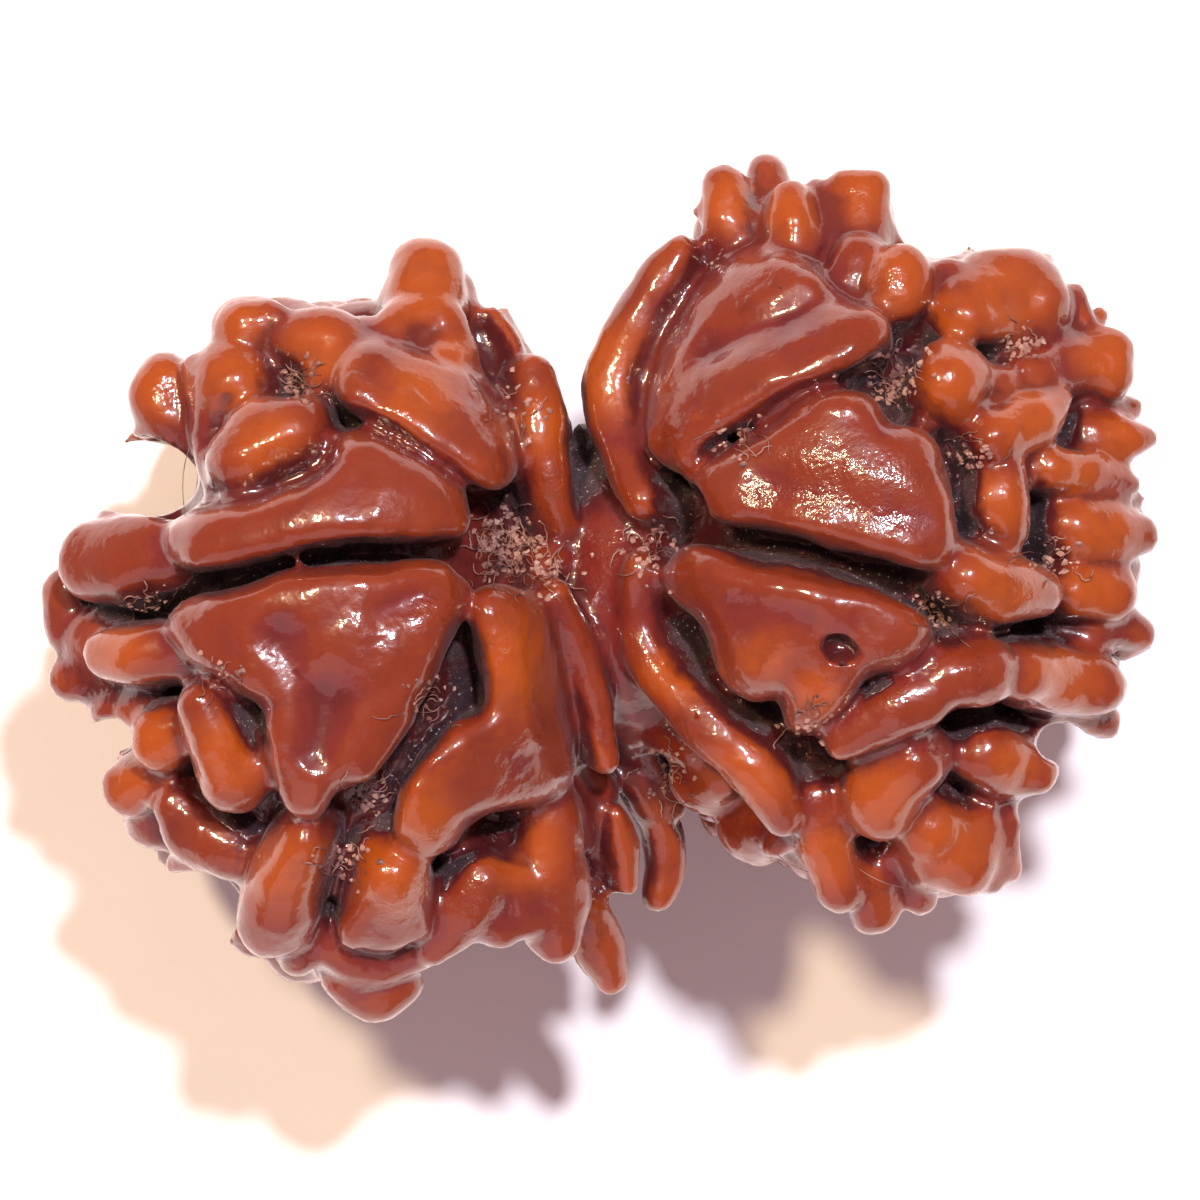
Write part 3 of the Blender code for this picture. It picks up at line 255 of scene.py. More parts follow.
# The hidden flanks and underside, where the lobes follow a rule: short bars and knobs in
# rows round the bead, which stay inside the outline that the drawn lobes have from above.
FLANK_ROWS = [(22, 22), (5, 23), (-12, 23), (-29, 21), (-45, 17), (-60, 12)]  # latitude, lobes
FLANK_WIDTHS = (0.75, 1.2)       # least and greatest half width of a lobe
FLANK_LENGTHS = (0.1, 1.4)       # least and greatest half length
FLANK_DEPTHS = (0.0, 0.5)        # how far their tops lie below the egg
NOTCH_SHARE = 0.86               # the outline's share of the egg where no lobe reaches the rim
FLANK_INSET = 0.15               # how far inside the outline the flanks stay
FLANK_SEED = 31
BASE_BARS = 7
BASE_BAR_WIDTH = 0.85

# %% Values for the finer skin
LOBE_SIDES = 20
LOBE_CAP_RINGS = 6               # rings in each round end of a lobe
LOBE_SPAN_RINGS = 6              # rings between two stations
STALK_WIDTH = 0.8                # a stalk's width at its lobe, as a share of the lobe's
RIM_STEPS = 5                    # points for each corner of a rounded outline
PETAL_CUTS = 9                   # how finely a petal's top is divided
SKIRT_TAPER = 0.1                # a petal narrows by this share towards its foot
SKIN_GRAIN = 0.16                # voxel size of the remesh
SKIN_TRIANGLES = 192000
SOFTEN_ROUNDS = 3
PLUMPNESS = 0.08                 # share by which drawn lobes are widened, down to none at the rim
PETAL_SPREAD = 0.1               # petal outlines are moved outwards by this
LUMPS = [(2.2, 0.16, 3.0), (1.0, 0.08, 9.0), (0.45, 0.02, 17.0)]  # size, height, noise shift
GROUND_BLOCK = (60, 60, 4)       # cuts the lowest bars flat
THIN_REACH = 3.5                 # how far the stone counts as thin
OPENNESS_REACH = 3.0             # how far a point's view of the outside is tested
OPENNESS_RAYS = 20
OPENNESS_SEED = 5
CURVATURE_ROUNDS = 30            # rounds of smoothing that the skin is compared with
SPOT_FADE = 1.6                  # how sharply a spot of the plan ends
# Places of the plan where the wax is crumpled and sparkles: (x, y, size).
CRUMPLED_SPOTS = [(6.6, 3.6, 2.2), (8.6, 3.0, 1.9), (4.6, 3.0, 1.0), (-5.0, -0.4, 1.0),
                  (-2.4, -6.2, 1.2), (-5.8, -8.8, 1.3), (-3.8, -9.0, 1.3), (7.6, 12.0, 0.9),
                  (8.6, 9.6, 0.8), (11.4, -2.1, 1.0), (8.4, -2.6, 1.0), (-13.0, 6.4, 0.8),
                  (12.5, 0.3, 0.9), (0.2, 1.4, 1.6), (-1.6, 3.4, 0.8)]
# Knobs and bars whose wax is bright orange: (x, y, size).
ORANGE_SPOTS = [(-5.3, 9.6, 2.3), (-13.3, -4.3, 1.6), (-14.0, -5.6, 1.1), (-11.0, -4.6, 1.7),
                (-10.7, 8.2, 1.3), (-13.1, 6.4, 1.4), (-8.4, 7.4, 1.5), (-10.9, 6.5, 1.5),
                (-4.5, 7.3, 1.0), (-9.5, -8.0, 1.7), (-6.3, -8.2, 1.7), (-2.2, -7.4, 1.6),
                (-2.5, -1.9, 1.9), (0.3, 6.8, 2.0), (5.6, 11.5, 1.4), (3.8, 11.8, 1.3),
                (7.8, 12.1, 1.3), (8.8, 9.6, 1.5), (10.4, 8.3, 1.3), (10.4, 6.4, 1.6),
                (12.7, 5.5, 1.7), (15.1, 7.2, 1.3), (15.5, 4.7, 1.2), (14.0, 3.8, 1.4),
                (14.9, 2.1, 1.6), (11.8, 2.8, 1.3), (11.9, 0.4, 1.7), (14.7, 0.2, 1.4),
                (8.3, -5.9, 1.7), (10.5, -7.5, 1.8), (6.8, -7.6, 1.5), (4.3, -5.3, 1.7),
                (4.8, -1.7, 1.0), (6.4, -2.8, 1.0), (-14.4, -1.5, 1.3), (-9.8, 4.6, 1.5),
                (-5.4, -6.4, 1.5), (2.2, -2.2, 1.3), (13.8, -2.4, 1.5), (12.3, -4.9, 1.0),
                (-5.4, 6.0, 1.6), (-1.8, 5.2, 1.4), (12.2, 9.0, 1.8)]

# Colours and factors, as the shader takes them.
RED_BROWN = (0.160, 0.019, 0.014, 1)
ORANGE_BROWN = (0.190, 0.027, 0.008, 1)
# The knob orange is the own colour of the listed orange spots, and also painted light on bulges and
# painted glow through thin lobes.
KNOB_ORANGE_AND_PAINTED_LIGHT = (0.40, 0.082, 0.004, 1)
# The deep red is a random tone of the stone and also painted shade in its hollows.
DEEP_RED_TONE_AND_SHADE = (0.085, 0.009, 0.009, 1)
# The groove side colour is painted shade down the sides of the grooves.
GROOVE_SIDE_SHADE = (0.070, 0.010, 0.011, 1)
# The groove floor colour is dirt and painted shade on the floors of the grooves.
GROOVE_FLOOR_DIRT_AND_SHADE = (0.030, 0.010, 0.014, 1)
FIBRE_TAN = (0.15, 0.07, 0.055, 1)
THREAD_BROWN = (0.17, 0.065, 0.05, 1)
THREAD_PALE = (0.34, 0.18, 0.14, 1)
THREAD_DARK = (0.07, 0.02, 0.018, 1)
VEIL_PINK = (1.0, 0.72, 0.74, 1)
# The glitter colour is painted glints on the groove floors.
PAINTED_GLINT = (0.62, 0.55, 0.52, 1)
TABLE_WHITES = ((0.9, 0.9, 0.9, 1), (0.93, 0.93, 0.93, 1))
WAX = {"Coat Roughness": 0.1, "Coat IOR": 1.5, "Specular IOR Level": 0.25, "Sheen Weight": 0.12,
       "Sheen Roughness": 0.35, "Sheen Tint": VEIL_PINK, "Subsurface Weight": 0.3,
       "Subsurface Radius": (1.0, 0.3, 0.12), "Subsurface Scale": 0.001}
BUMP = {"Strength": 0.7, "Distance": 0.00005}

# Lamps: name, azimuth and elevation in degrees, strength, colour, width in degrees.
LAMPS = [("cool_lamp", 66, 70, 3.2, (0.96, 0.91, 1.0), 4.0),
         ("warm_lamp", 136, 65, 2.3, (1.0, 0.76, 0.50), 6.0),
         ("low_glow", 255, 24, 0.85, (1.0, 0.72, 0.80), 70.0)]
ROOM_COLOUR = (1.0, 0.68, 0.70, 1)
ROOM_STRENGTH = 0.30
FLOOR_HALF = 300.0
LENS = 500.0
SENSOR_WIDTH = 36.0
FRAME_LEVEL = 12.5
FRAME_WIDTH = 36.0               # what the picture spans at that level

# Dried fibre caught in the grooves: plan (x, y), spread, number of threads and of crumbs.
FIBRE_MATS = [
    (-2.85, 1.65, 1.0, 60, 130), (-1.6, 1.0, 0.8, 14, 40), (8.7, 6.6, 1.0, 16, 60),
    (10.0, -0.3, 0.8, 12, 24), (12.6, 7.6, 0.6, 4, 40), (-9.0, 6.5, 0.6, 14, 24),
    (-6.9, -5.8, 0.5, 8, 30), (-5.1, -3.0, 0.8, 12, 16), (-7.5, -7.8, 0.8, 10, 20),
    (4.0, 4.8, 0.7, 8, 24), (2.0, -5.2, 0.9, 10, 36), (-13.3, -0.1, 0.5, 10, 14),
    (1.6, 1.5, 0.9, 12, 40), (6.2, -3.6, 0.9, 8, 26), (13.6, 1.2, 0.7, 6, 26),
    (-11.3, -2.2, 0.7, 8, 16), (11.0, 4.3, 0.6, 6, 30), (-2.4, 5.6, 0.8, 4, 20),
]
# Longer hairs: the first, the bowed and the last point of each in the plan.
HAIRS = [[(-12.2, 4.65), (-12.5, 3.7), (-12.3, 2.5)], [(4.9, -7.0), (5.1, -7.7), (6.2, -8.1)],
         [(7.7, -8.0), (8.4, -8.5), (9.2, -8.6)]]
FIBRE_SEED = 12
THREAD_STEPS = 9
THREAD_STEP = (0.05, 0.13)       # least and greatest length of a step
THREAD_TURN = 0.9                # most that a thread turns at a step, in radians
THREAD_LIFT = 0.05               # most that a point of a thread is lifted at random
THREAD_ARCH = 0.08               # how far a thread's middle stands off the stone
THREAD_RADIUS = 0.022
THREAD_WIDTHS = (0.6, 1.3)       # least and greatest share of that radius
HAIR_WIDTH = 0.7
HAIR_ARCH = 0.8
HAIR_STEPS = 12
CRUMB_SIZES = (0.04, 0.11)
CRUMB_TILT = 0.7                 # in radians
CRUMB_SHRINK = (0.55, 1.35)      # how far a crumb's corners are pulled in or out
CRUMB_SHAPE = (1.3, 1.0, 0.5)
FIBRE_LEVEL = 0.6                # fibre lies only above this share of the beads' middle height

# %% [markdown]
# ## Putting a plan point on a bead
#
# A lobe is drawn in the plan, so two helpers are needed first. One lifts a plan point
# on to the bead's egg, drawn in by a depth. The other gives the direction that is
# straight out of the bead there, which is the lobe's own "up".

# %% Lift plan points on to a bead
def plan_share(bead, x, y, depth=0.0):
    """How far a plan point is from a bead's middle, as a share of its egg drawn in by a depth."""
    return math.hypot((x - bead[0]) / (REACH[0] - depth), (y - bead[1]) / (REACH[1] - depth))


def on_bead(bead, x, y, depth):
    """The point over (x, y) on a bead's egg, drawn in by a depth, and flatter near the rim."""
    share = plan_share(bead, x, y, depth)
    height = (REACH[2] - depth) * math.sqrt(1.0 - min(share, RIM_SHARE) ** 2)
    fall = max(0.0, share - RIM_SHARE) * (REACH[0] - depth) * RIM_FALL
    return Vector((x, y, MIDDLE_HEIGHT + height - fall))


def outward(bead, point):
    """The direction straight out of a bead's egg at a point near it."""
    away = point - Vector((bead[0], bead[1], MIDDLE_HEIGHT))
    return Vector([a / size ** 2 for a, size in zip(away, REACH)]).normalized()


top = on_bead(RIGHT_MIDDLE, *RIGHT_MIDDLE, 0.0)
print("the right bead's crown is", round(top.z, 2), "mm up, facing", outward(RIGHT_MIDDLE, top)[:])


# %% [markdown]
# ## Lobes: spheres drawn out along a line
#
# Most of the stone's lobes are fingers, bars and knobs with soft round ends. Each one
# starts as a UV sphere. Its rings are laid along a smooth line through the lobe's
# stations, so the first and last rings make the round ends. The half of each ring that
# faces the bead is stretched down, so the lobe is rooted in the bead with no gap.

# %% A smooth line through a lobe's stations
def along(stations, t):
    """The point, direction, half width and depth at t from 0 to 1 along a line of stations."""
    span = t * (len(stations) - 1)
    i = min(int(span), len(stations) - 2)
    f = span - i
    (a, wide_a, deep_a), (b, wide_b, deep_b) = stations[i], stations[i + 1]
    out = (b - stations[max(i - 1, 0)][0]) * 0.5
    into = (stations[min(i + 2, len(stations) - 1)][0] - a) * 0.5
    point = (a * (2 * f ** 3 - 3 * f ** 2 + 1) + out * (f ** 3 - 2 * f ** 2 + f)
             + b * (3 * f ** 2 - 2 * f ** 3) + into * (f ** 3 - f ** 2))
    slope = (a * (6 * f ** 2 - 6 * f) + out * (3 * f ** 2 - 4 * f + 1)
             + b * (6 * f - 6 * f ** 2) + into * (3 * f ** 2 - 2 * f))
    return point, slope.normalized(), wide_a + (wide_b - wide_a) * f, deep_a + (deep_b - deep_a) * f


# %% Draw a sphere out into a lobe
def ring_frames(bead, stations, upright, rings, middle):
    """Each ring's middle, radius, directions up and sideways, and how far its foot is sunk."""
    frames = []
    for level in range(rings + 1):
        place = (level - LOBE_CAP_RINGS) / middle
        past = max(-place * middle, (place - 1) * middle, 0.0) / LOBE_CAP_RINGS * math.pi / 2
        point, slope, width, depth = along(stations, min(max(place, 0.0), 1.0))
        point = point + slope * (width * math.sin(past) * (1 if place > 0.5 else -1))
        up = outward(bead, point).lerp(Vector((0, 0, 1)), upright).normalized()
        rise = up - slope * up.dot(slope)
        leaning = rise.length
        rise = rise.normalized() if leaning > 0.05 else slope.orthogonal().normalized()
        below = max(0.0, ROOT_DEPTH - depth - 2 * width) * leaning / width
        frames.append((point, width * math.cos(past), rise, slope.cross(rise), below))
    return frames


def add_lobe(bm, bead, stations, upright=0.0):
    """Adds one lobe, its foot pointing into the bead, or straight down where upright is 1."""
    middle = LOBE_SPAN_RINGS * (len(stations) - 1)
    rings = 2 * LOBE_CAP_RINGS + middle
    frames = ring_frames(bead, stations, upright, rings, middle)
    lobe = bmesh.new()
    bmesh.ops.create_uvsphere(lobe, u_segments=LOBE_SIDES, v_segments=rings, radius=1.0)
    for vert in lobe.verts:
        level = round((0.5 + math.asin(max(-1.0, min(1.0, vert.co.z))) / math.pi) * rings)
        around = math.atan2(vert.co.y, vert.co.x)
        point, radius, rise, side, below = frames[level]
        across, height = math.cos(around), math.sin(around)
        if height < 0:
            across *= 1 - FOOT_FLARE * min(below, 1.0) * height
            height *= 1 + below
        vert.co = point + side * (radius * across) + rise * (radius * height)
    join(bm, lobe)


def join(bm, made):
    """Puts a finished piece's faces into the growing stone."""
    holder = bpy.data.meshes.new("piece")
    made.to_mesh(holder)
    made.free()
    bm.from_mesh(holder)
    bpy.data.meshes.remove(holder)


# %% Put a drawn lobe and its stalk on the bead
def add_plan_lobe(bm, bead, line):
    """Adds a lobe whose line is drawn in the plan, and the stalk that roots its inner end."""
    stations = []
    for entry in line:
        x, y, width = entry[:3]
        depth = entry[3] if len(entry) > 3 else 0.0
        past = min(1.0, max(0.0, plan_share(bead, x, y) - RIM_SHARE) / (1 - RIM_SHARE))
        width *= 1 + PLUMPNESS * (1 - past)
        sunk = depth + ROOT_DEPTH * RIM_LIFT * past
        stations.append((on_bead(bead, x, y, depth + width), width, sunk))
    add_lobe(bm, bead, stations, UPRIGHT)
    foot, width, depth = min(stations, key=lambda station: plan_share(bead, *station[0].xy))
    root = foot.lerp(Vector((*bead, MIDDLE_HEIGHT)), STALK_SHARE)
    add_lobe(bm, bead, [(foot, width * STALK_WIDTH, ROOT_DEPTH), (root, width, ROOT_DEPTH)])


# %% [markdown]
# ## Petals: thick plates with a rolled rim
#
# The petals round the two holes are broader than they are high, and their tops are
# flat or a little sunk. An outline of a few points is rounded with a Catmull-Rom
# curve and filled with one face. That face is divided finely, and each point of it is
# set down on the bead by its distance from the rim: near the rim it rolls down in a
# quarter circle, further in it stays level. Folds are pressed in by the same sum.

# %% Round an outline, and measure how far points are from lines
def rounded(outline):
    """An outline with extra points that curve through its corners."""
    points = []
    for i in range(len(outline)):
        before, a, b, after = (np.array(outline[(i + k) % len(outline)]) for k in (-1, 0, 1, 2))
        for step in range(RIM_STEPS):
            f = step / RIM_STEPS
            points.append(0.5 * (2 * a + (b - before) * f + (2 * before - 5 * a + 4 * b - after) * f * f
                                 + (3 * a - before - 3 * b + after) * f ** 3))
    return np.array(points)


def spread(rim, wider):
    """A closed outline moved outwards by a distance."""
    run = np.roll(rim, -1, axis=0) - np.roll(rim, 1, axis=0)
    across = np.stack([run[:, 1], -run[:, 0]], axis=1) / np.linalg.norm(run, axis=1)[:, None]
    area = np.sum(rim[:, 0] * np.roll(rim[:, 1], -1) - rim[:, 1] * np.roll(rim[:, 0], -1))
    return rim + across * wider * np.sign(area)


def distance_to(points, start, end):
    """How far plan points are from the straight line between two others."""
    start, end = np.array(start), np.array(end)
    run = end - start
    part = np.clip((points - start) @ run / max(run @ run, 1e-9), 0, 1)
    return np.linalg.norm(points - start - part[:, None] * run, axis=1)


def petal_depths(points, rim):
    """How far below the lobes' tops the petal's top lies at each plan point."""
    inward = np.min([distance_to(points, rim[i - 1], rim[i]) for i in range(len(rim))], axis=0)
    inward = np.clip(inward / PETAL_EDGE, 0, 1)
    depths = PETAL_DROP * (1 - np.sqrt(1 - (1 - inward) ** 2))
    for start, end, half_width, depth in FOLDS:
        depths += depth * np.exp(-(distance_to(points, start, end) / half_width) ** 2)
    return depths


# %% Make a petal
def add_petal(bm, bead, outline):
    """Adds one petal to the growing stone."""
    rim = spread(rounded(outline), PETAL_SPREAD)
    plate = bmesh.new()
    plate.faces.new([plate.verts.new((x, y, 0)) for x, y in rim])
    bmesh.ops.triangulate(plate, faces=plate.faces)
    inner = [edge for edge in plate.edges if not edge.is_boundary]
    bmesh.ops.subdivide_edges(plate, edges=inner, cuts=PETAL_CUTS, use_grid_fill=True)
    bmesh.ops.triangulate(plate, faces=plate.faces)
    spots = np.array([vert.co[:2] for vert in plate.verts])
    for vert, depth in zip(plate.verts, petal_depths(spots, rim)):
        vert.co = on_bead(bead, vert.co.x, vert.co.y, depth)
    skirt = bmesh.ops.extrude_edge_only(plate, edges=[e for e in plate.edges if e.is_boundary])["geom"]
    foot = [item for item in skirt if isinstance(item, bmesh.types.BMVert)]
    middle = sum((vert.co for vert in foot), Vector()) / len(foot)
    for vert in foot:
        inner_point = vert.co.lerp(middle, SKIRT_TAPER)
        vert.co = on_bead(bead, inner_point.x, inner_point.y, PETAL_SKIRT)
    foot_edges = [item for item in skirt if isinstance(item, bmesh.types.BMEdge) and item.is_boundary]
    bmesh.ops.contextual_create(plate, geom=foot_edges)
    bmesh.ops.triangulate(plate, faces=plate.faces)
    bmesh.ops.recalc_face_normals(plate, faces=plate.faces)
    join(bm, plate)


# %% [markdown]
# ## The hidden flanks
#
# The sides and underside are covered by lobes too, but the plan doesn't show them. They
# stand in rows round the bead, short bars and knobs with their place, width and heading
# drawn at random from one seed. They stay inside the outline that the drawn lobes have
# from above, so its notches stay open. Bars meet under each bead, round the lower end
# of its stringing hole.

# %% Points on the egg, and its outline from above
def egg_point(bead, latitude, longitude, depth):
    """A point of the bead's egg by latitude and longitude in degrees, drawn in by a depth."""
    half = [size - depth for size in REACH]
    lat, lon = math.radians(latitude), math.radians(longitude)
    return Vector((bead[0] + half[0] * math.cos(lat) * math.cos(lon),
                   bead[1] + half[1] * math.cos(lat) * math.sin(lon),
                   MIDDLE_HEIGHT + half[2] * math.sin(lat)))


def inside(other, point):
    """Whether a point is buried in the other bead."""
    away = point - Vector((*other, MIDDLE_HEIGHT))
    return sum((a / (size - BURIAL_DEPTH)) ** 2 for a, size in zip(away, REACH)) < 1.0


def rim_reach(bead, lobes, longitude):
    """How far the outline of the drawn lobes reaches at a longitude, as a share of the egg."""
    reach = NOTCH_SHARE
    for line in lobes.values():
        x, y, width = max(line, key=lambda entry: plan_share(bead, entry[0], entry[1]))[:3]
        out = math.hypot(x - bead[0], y - bead[1])
        end = math.degrees(math.atan2((y - bead[1]) / REACH[1], (x - bead[0]) / REACH[0]))
        apart = abs((longitude - end + 180) % 360 - 180)
        if apart < math.degrees(width / out):
            reach = max(reach, plan_share(bead, x, y) * (1 + width / out))
    return reach


# %% Rows of lobes down the flanks
def flank_line(bead, lobes, latitude, longitude, draw):
    """One lobe of the flanks, as stations, with its size and heading drawn at random."""
    level = latitude + draw.uniform(-3, 3)
    width = draw.uniform(*FLANK_WIDTHS)
    length = draw.uniform(*FLANK_LENGTHS)
    heading = math.radians(draw.uniform(0, 180))
    depth = draw.uniform(*FLANK_DEPTHS)
    round_bead = math.cos(math.radians(level))
    turn = math.degrees(length / REACH[0])
    aside = turn * abs(math.cos(heading)) + math.degrees(width / REACH[0])
    reach = min(rim_reach(bead, lobes, longitude + aside * side) for side in (-0.6, 0, 0.6))
    radius = math.hypot(REACH[0] * math.cos(math.radians(longitude)),
                        REACH[1] * math.sin(math.radians(longitude)))
    depth = max(depth, (round_bead - reach) * radius + FLANK_INSET)
    return [(egg_point(bead, level + turn * share * math.sin(heading),
                       longitude + turn * share * math.cos(heading) / round_bead, width + depth),
             width * (1 - 0.15 * share), depth) for share in (-1, 0, 1)]


def add_flank(bm, bead, other, lobes, draw):
    """Adds the rows of lobes down a bead's sides, and the bars round its lower end."""
    for row, (latitude, count) in enumerate(FLANK_ROWS):
        for i in range(count):
            longitude = 360 * (i + 0.5 * (row % 2)) / count + draw.uniform(-4, 4)
            line = flank_line(bead, lobes, latitude, longitude, draw)
            if not inside(other, line[1][0]):
                add_lobe(bm, bead, line)
    for i in range(BASE_BARS):
        longitude = 360 * i / BASE_BARS + draw.uniform(-9, 9)
        line = []
        for latitude, share in ((-82, 0.7), (-76, 1.0), (-69, 0.85)):
            width = BASE_BAR_WIDTH * share
            line.append((egg_point(bead, latitude, longitude, width), width, 0.0))
        add_lobe(bm, bead, line)


# %% [markdown]
# ## Growing the stone
#
# All the lobes, petals and inner eggs are put in one mesh, where they overlap. A voxel
# remesh finds the one skin round all of them, as modelling clay pressed together would
# have. The stringing holes, one small pit and the deep clefts are cut from that with a
# Boolean. The skin is remeshed once more, and smoothing softens its creases.

# %% Put every lobe in one mesh
def add_egg(bm, middle, half, turn=None):
    """Adds an egg of three half sizes, turned about its middle where a turn is given."""
    egg = bmesh.new()
    bmesh.ops.create_icosphere(egg, subdivisions=5, radius=1.0)
    bmesh.ops.scale(egg, vec=half, verts=egg.verts)
    if turn:
        bmesh.ops.rotate(egg, matrix=turn, verts=egg.verts)
    bmesh.ops.translate(egg, vec=middle, verts=egg.verts)
    join(bm, egg)


def new_object(name, bm):
    """An object at the origin whose mesh is given in millimetres."""
    bmesh.ops.scale(bm, vec=(MM, MM, MM), verts=bm.verts)
    mesh = bpy.data.meshes.new(name)
    bm.to_mesh(mesh)
    bm.free()
    made = bpy.data.objects.new(name, mesh)
    bpy.context.scene.collection.objects.link(made)
    return made


growing = bmesh.new()
core = [size - GROOVE_DEPTH for size in REACH]
add_egg(growing, (*LEFT_MIDDLE, MIDDLE_HEIGHT), core)
add_egg(growing, (*RIGHT_MIDDLE, MIDDLE_HEIGHT), core)
add_egg(growing, (*WAIST_MIDDLE, MIDDLE_HEIGHT), WAIST_REACH)
for bead, petals, lobes in ((LEFT_MIDDLE, LEFT_PETALS, LEFT_LOBES),
                            (RIGHT_MIDDLE, RIGHT_PETALS, RIGHT_LOBES)):
    for outline in petals.values():
        add_petal(growing, bead, outline)
    for line in lobes.values():
        add_plan_lobe(growing, bead, line)
for line in WAIST_LOBES.values():
    add_plan_lobe(growing, LEFT_MIDDLE, line)
draw = random.Random(FLANK_SEED)
add_flank(growing, LEFT_MIDDLE, RIGHT_MIDDLE, LEFT_LOBES, draw)
add_flank(growing, RIGHT_MIDDLE, LEFT_MIDDLE, RIGHT_LOBES, draw)
print("faces before they grow together:", len(growing.faces))
stone = new_object("rudraksha_stone", growing)

# %% One skin over all the lobes
def apply_modifiers(item):
    """Makes what an object's modifiers show its own mesh."""
    view = bpy.context.evaluated_depsgraph_get()
    shown = bpy.data.meshes.new_from_object(item.evaluated_get(view))
    item.modifiers.clear()
    item.data = shown


def grow_skin(item, grain):
    """Voxel remesh of an object, at a grain in millimetres."""
    skin = item.modifiers.new("skin", "REMESH")
    skin.mode = "VOXEL"
    skin.voxel_size = grain * MM
    apply_modifiers(item)


grow_skin(stone, SKIN_GRAIN)
print("faces of the skin:", len(stone.data.polygons))

# %% Open the holes
def cut(item, tool):
    """Takes one object away from another, and removes it."""
    away = item.modifiers.new("away", "BOOLEAN")
    away.operation = "DIFFERENCE"
    away.object = tool
    away.solver = "MANIFOLD"
    apply_modifiers(item)
    bpy.data.objects.remove(tool)


for bead, mouth, half, depth in PITS:
    tool = bmesh.new()
    middle = on_bead(bead, *mouth, 0.0)
    turn = outward(bead, middle).to_track_quat("Z", "Y").to_matrix()
    add_egg(tool, middle, (half[0], half[1], depth), turn)
    cut(stone, new_object("pit", tool))
for middle, half in CLEFTS:
    tool = bmesh.new()
    add_egg(tool, (*middle, MIDDLE_HEIGHT), (*half, CLEFT_HALF_HEIGHT))
    cut(stone, new_object("cleft", tool))
grow_skin(stone, SKIN_GRAIN)

# %% Soften the creases and drop what is loose
def keep_outer_skin(mesh):
    """Drops loose scraps and the skins of sealed hollows: the largest skin stays."""
    bm = bmesh.new()
    bm.from_mesh(mesh)
    left = set(bm.verts)
    skins = []
    while left:
        skin = {left.pop()}
        edge_of = set(skin)
        while edge_of:
            edge_of = {e.other_vert(v) for v in edge_of for e in v.link_edges} - skin
            skin |= edge_of
        left -= skin
        skins.append(skin)
    skins.sort(key=len)
    bmesh.ops.delete(bm, geom=[vert for skin in skins[:-1] for vert in skin], context="VERTS")
    bm.to_mesh(mesh)
    bm.free()
    return len(skins)


print("skins found:", keep_outer_skin(stone.data))
soft = stone.modifiers.new("soften", "SMOOTH")
soft.factor = 0.5
soft.iterations = SOFTEN_ROUNDS
apply_modifiers(stone)

# %% [markdown]
# ## Lumps and ripples
#
# The real lobes are never quite even. Each point of the skin is moved along its own
# normal by three sizes of noise: slow lumps, small ripples and a fine grain on top.

# %% Move the skin in and out a little
def displace_by_noise(mesh, layers):
    """Moves each vertex along its normal by layers of (size in mm, height in mm, noise shift)."""
    normals = [vert.normal.copy() for vert in mesh.vertices]
    for vert, normal in zip(mesh.vertices, normals):
        spot = vert.co / MM
        shift = sum(height * noise.noise(spot / size + Vector((seed, seed, seed)))
                    for size, height, seed in layers)
        vert.co += normal * (shift * MM)


displace_by_noise(stone.data, LUMPS)

# %% [markdown]
# ## Setting it down
#
# The pair is turned to run along X and moved so that the stone is centred over the
# origin, like the solid model. Its lowest bars are cut flat where it rests. The skin
# has far more triangles than its shape needs, so Decimate thins it.

# %% Turn, centre, cut and thin
stone.data.transform(Matrix.Rotation(math.radians(-LIE_ANGLE), 4, "Z"))
stone.data.transform(Matrix.Translation((-PLAN_CENTRE[0] * MM, -PLAN_CENTRE[1] * MM, 0)))
found = sum(len(face.vertices) - 2 for face in stone.data.polygons)
stone.modifiers.new("thinned", "DECIMATE").ratio = SKIN_TRIANGLES / found
apply_modifiers(stone)
ground = bmesh.new()
bmesh.ops.create_cube(ground, size=1.0)
bmesh.ops.scale(ground, vec=GROUND_BLOCK, verts=ground.verts)
bmesh.ops.translate(ground, vec=(0, 0, -GROUND_BLOCK[2] / 2), verts=ground.verts)
cut(stone, new_object("ground", ground))
stone.data.shade_smooth()
print("triangles kept:", sum(len(face.vertices) - 2 for face in stone.data.polygons))

# %% [markdown]
# ## What the finish needs to know
#
# Grooves hold dirt and fibre, knobs are more orange than petals, and thin lobes let
# light through. The material paints shade into the grooves and hollows, and light on
# the bulges and through the thin lobes. So five numbers are stored on each point for
# the material: whether it is on a crumpled or an orange spot of the plan, how far it
# stands out from the skin round it, how thin the stone is behind it, and how much of
# the outside it sees. Rays through the stone and out from it measure the last two.

# %% Rays against the skin
def ray_tree(mesh):
    """A tree of a mesh's faces, for rays to be cast against."""
    return BVHTree.FromPolygons([v.co for v in mesh.vertices],
                                [tuple(f.vertices) for f in mesh.polygons])


def thinness(mesh, tree, reach):
    """From 0 to 1, how thin the stone is behind each vertex, over a reach in millimetres."""
    values = []
    for vert in mesh.vertices:
        inward = -vert.normal
        through = tree.ray_cast(vert.co + inward * (0.03 * MM), inward, reach * MM)[3]
        values.append(1 - (through or reach * MM) / (reach * MM))
    return values


def openness(mesh, tree, reach):
    """From 0 to 1, how much of the outside each vertex sees within a reach in millimetres."""
    draw = random.Random(OPENNESS_SEED)
    ways = []
    while len(ways) < OPENNESS_RAYS:
        way = Vector([draw.uniform(-1, 1) for axis in range(3)])
        if 0.1 < way.length < 1.0:
            ways.append(way.normalized())
    values = []
    for vert in mesh.vertices:
        start = vert.co + vert.normal * (0.05 * MM)
        free = 0
        for way in ways:
            ahead = (way + vert.normal * 1.05).normalized()
            if tree.ray_cast(start, ahead, reach * MM)[3] is None:
                free += 1
        values.append(free / len(ways))
    return values


# %% Bulges, hollows and spots of the plan
def rows(items, name, width, kind=np.float32):
    """One property of a mesh's vertices or edges, as an array with a row for each."""
    values = np.empty(len(items) * width, dtype=kind)
    items.foreach_get(name, values)
    return values.reshape(-1, width)


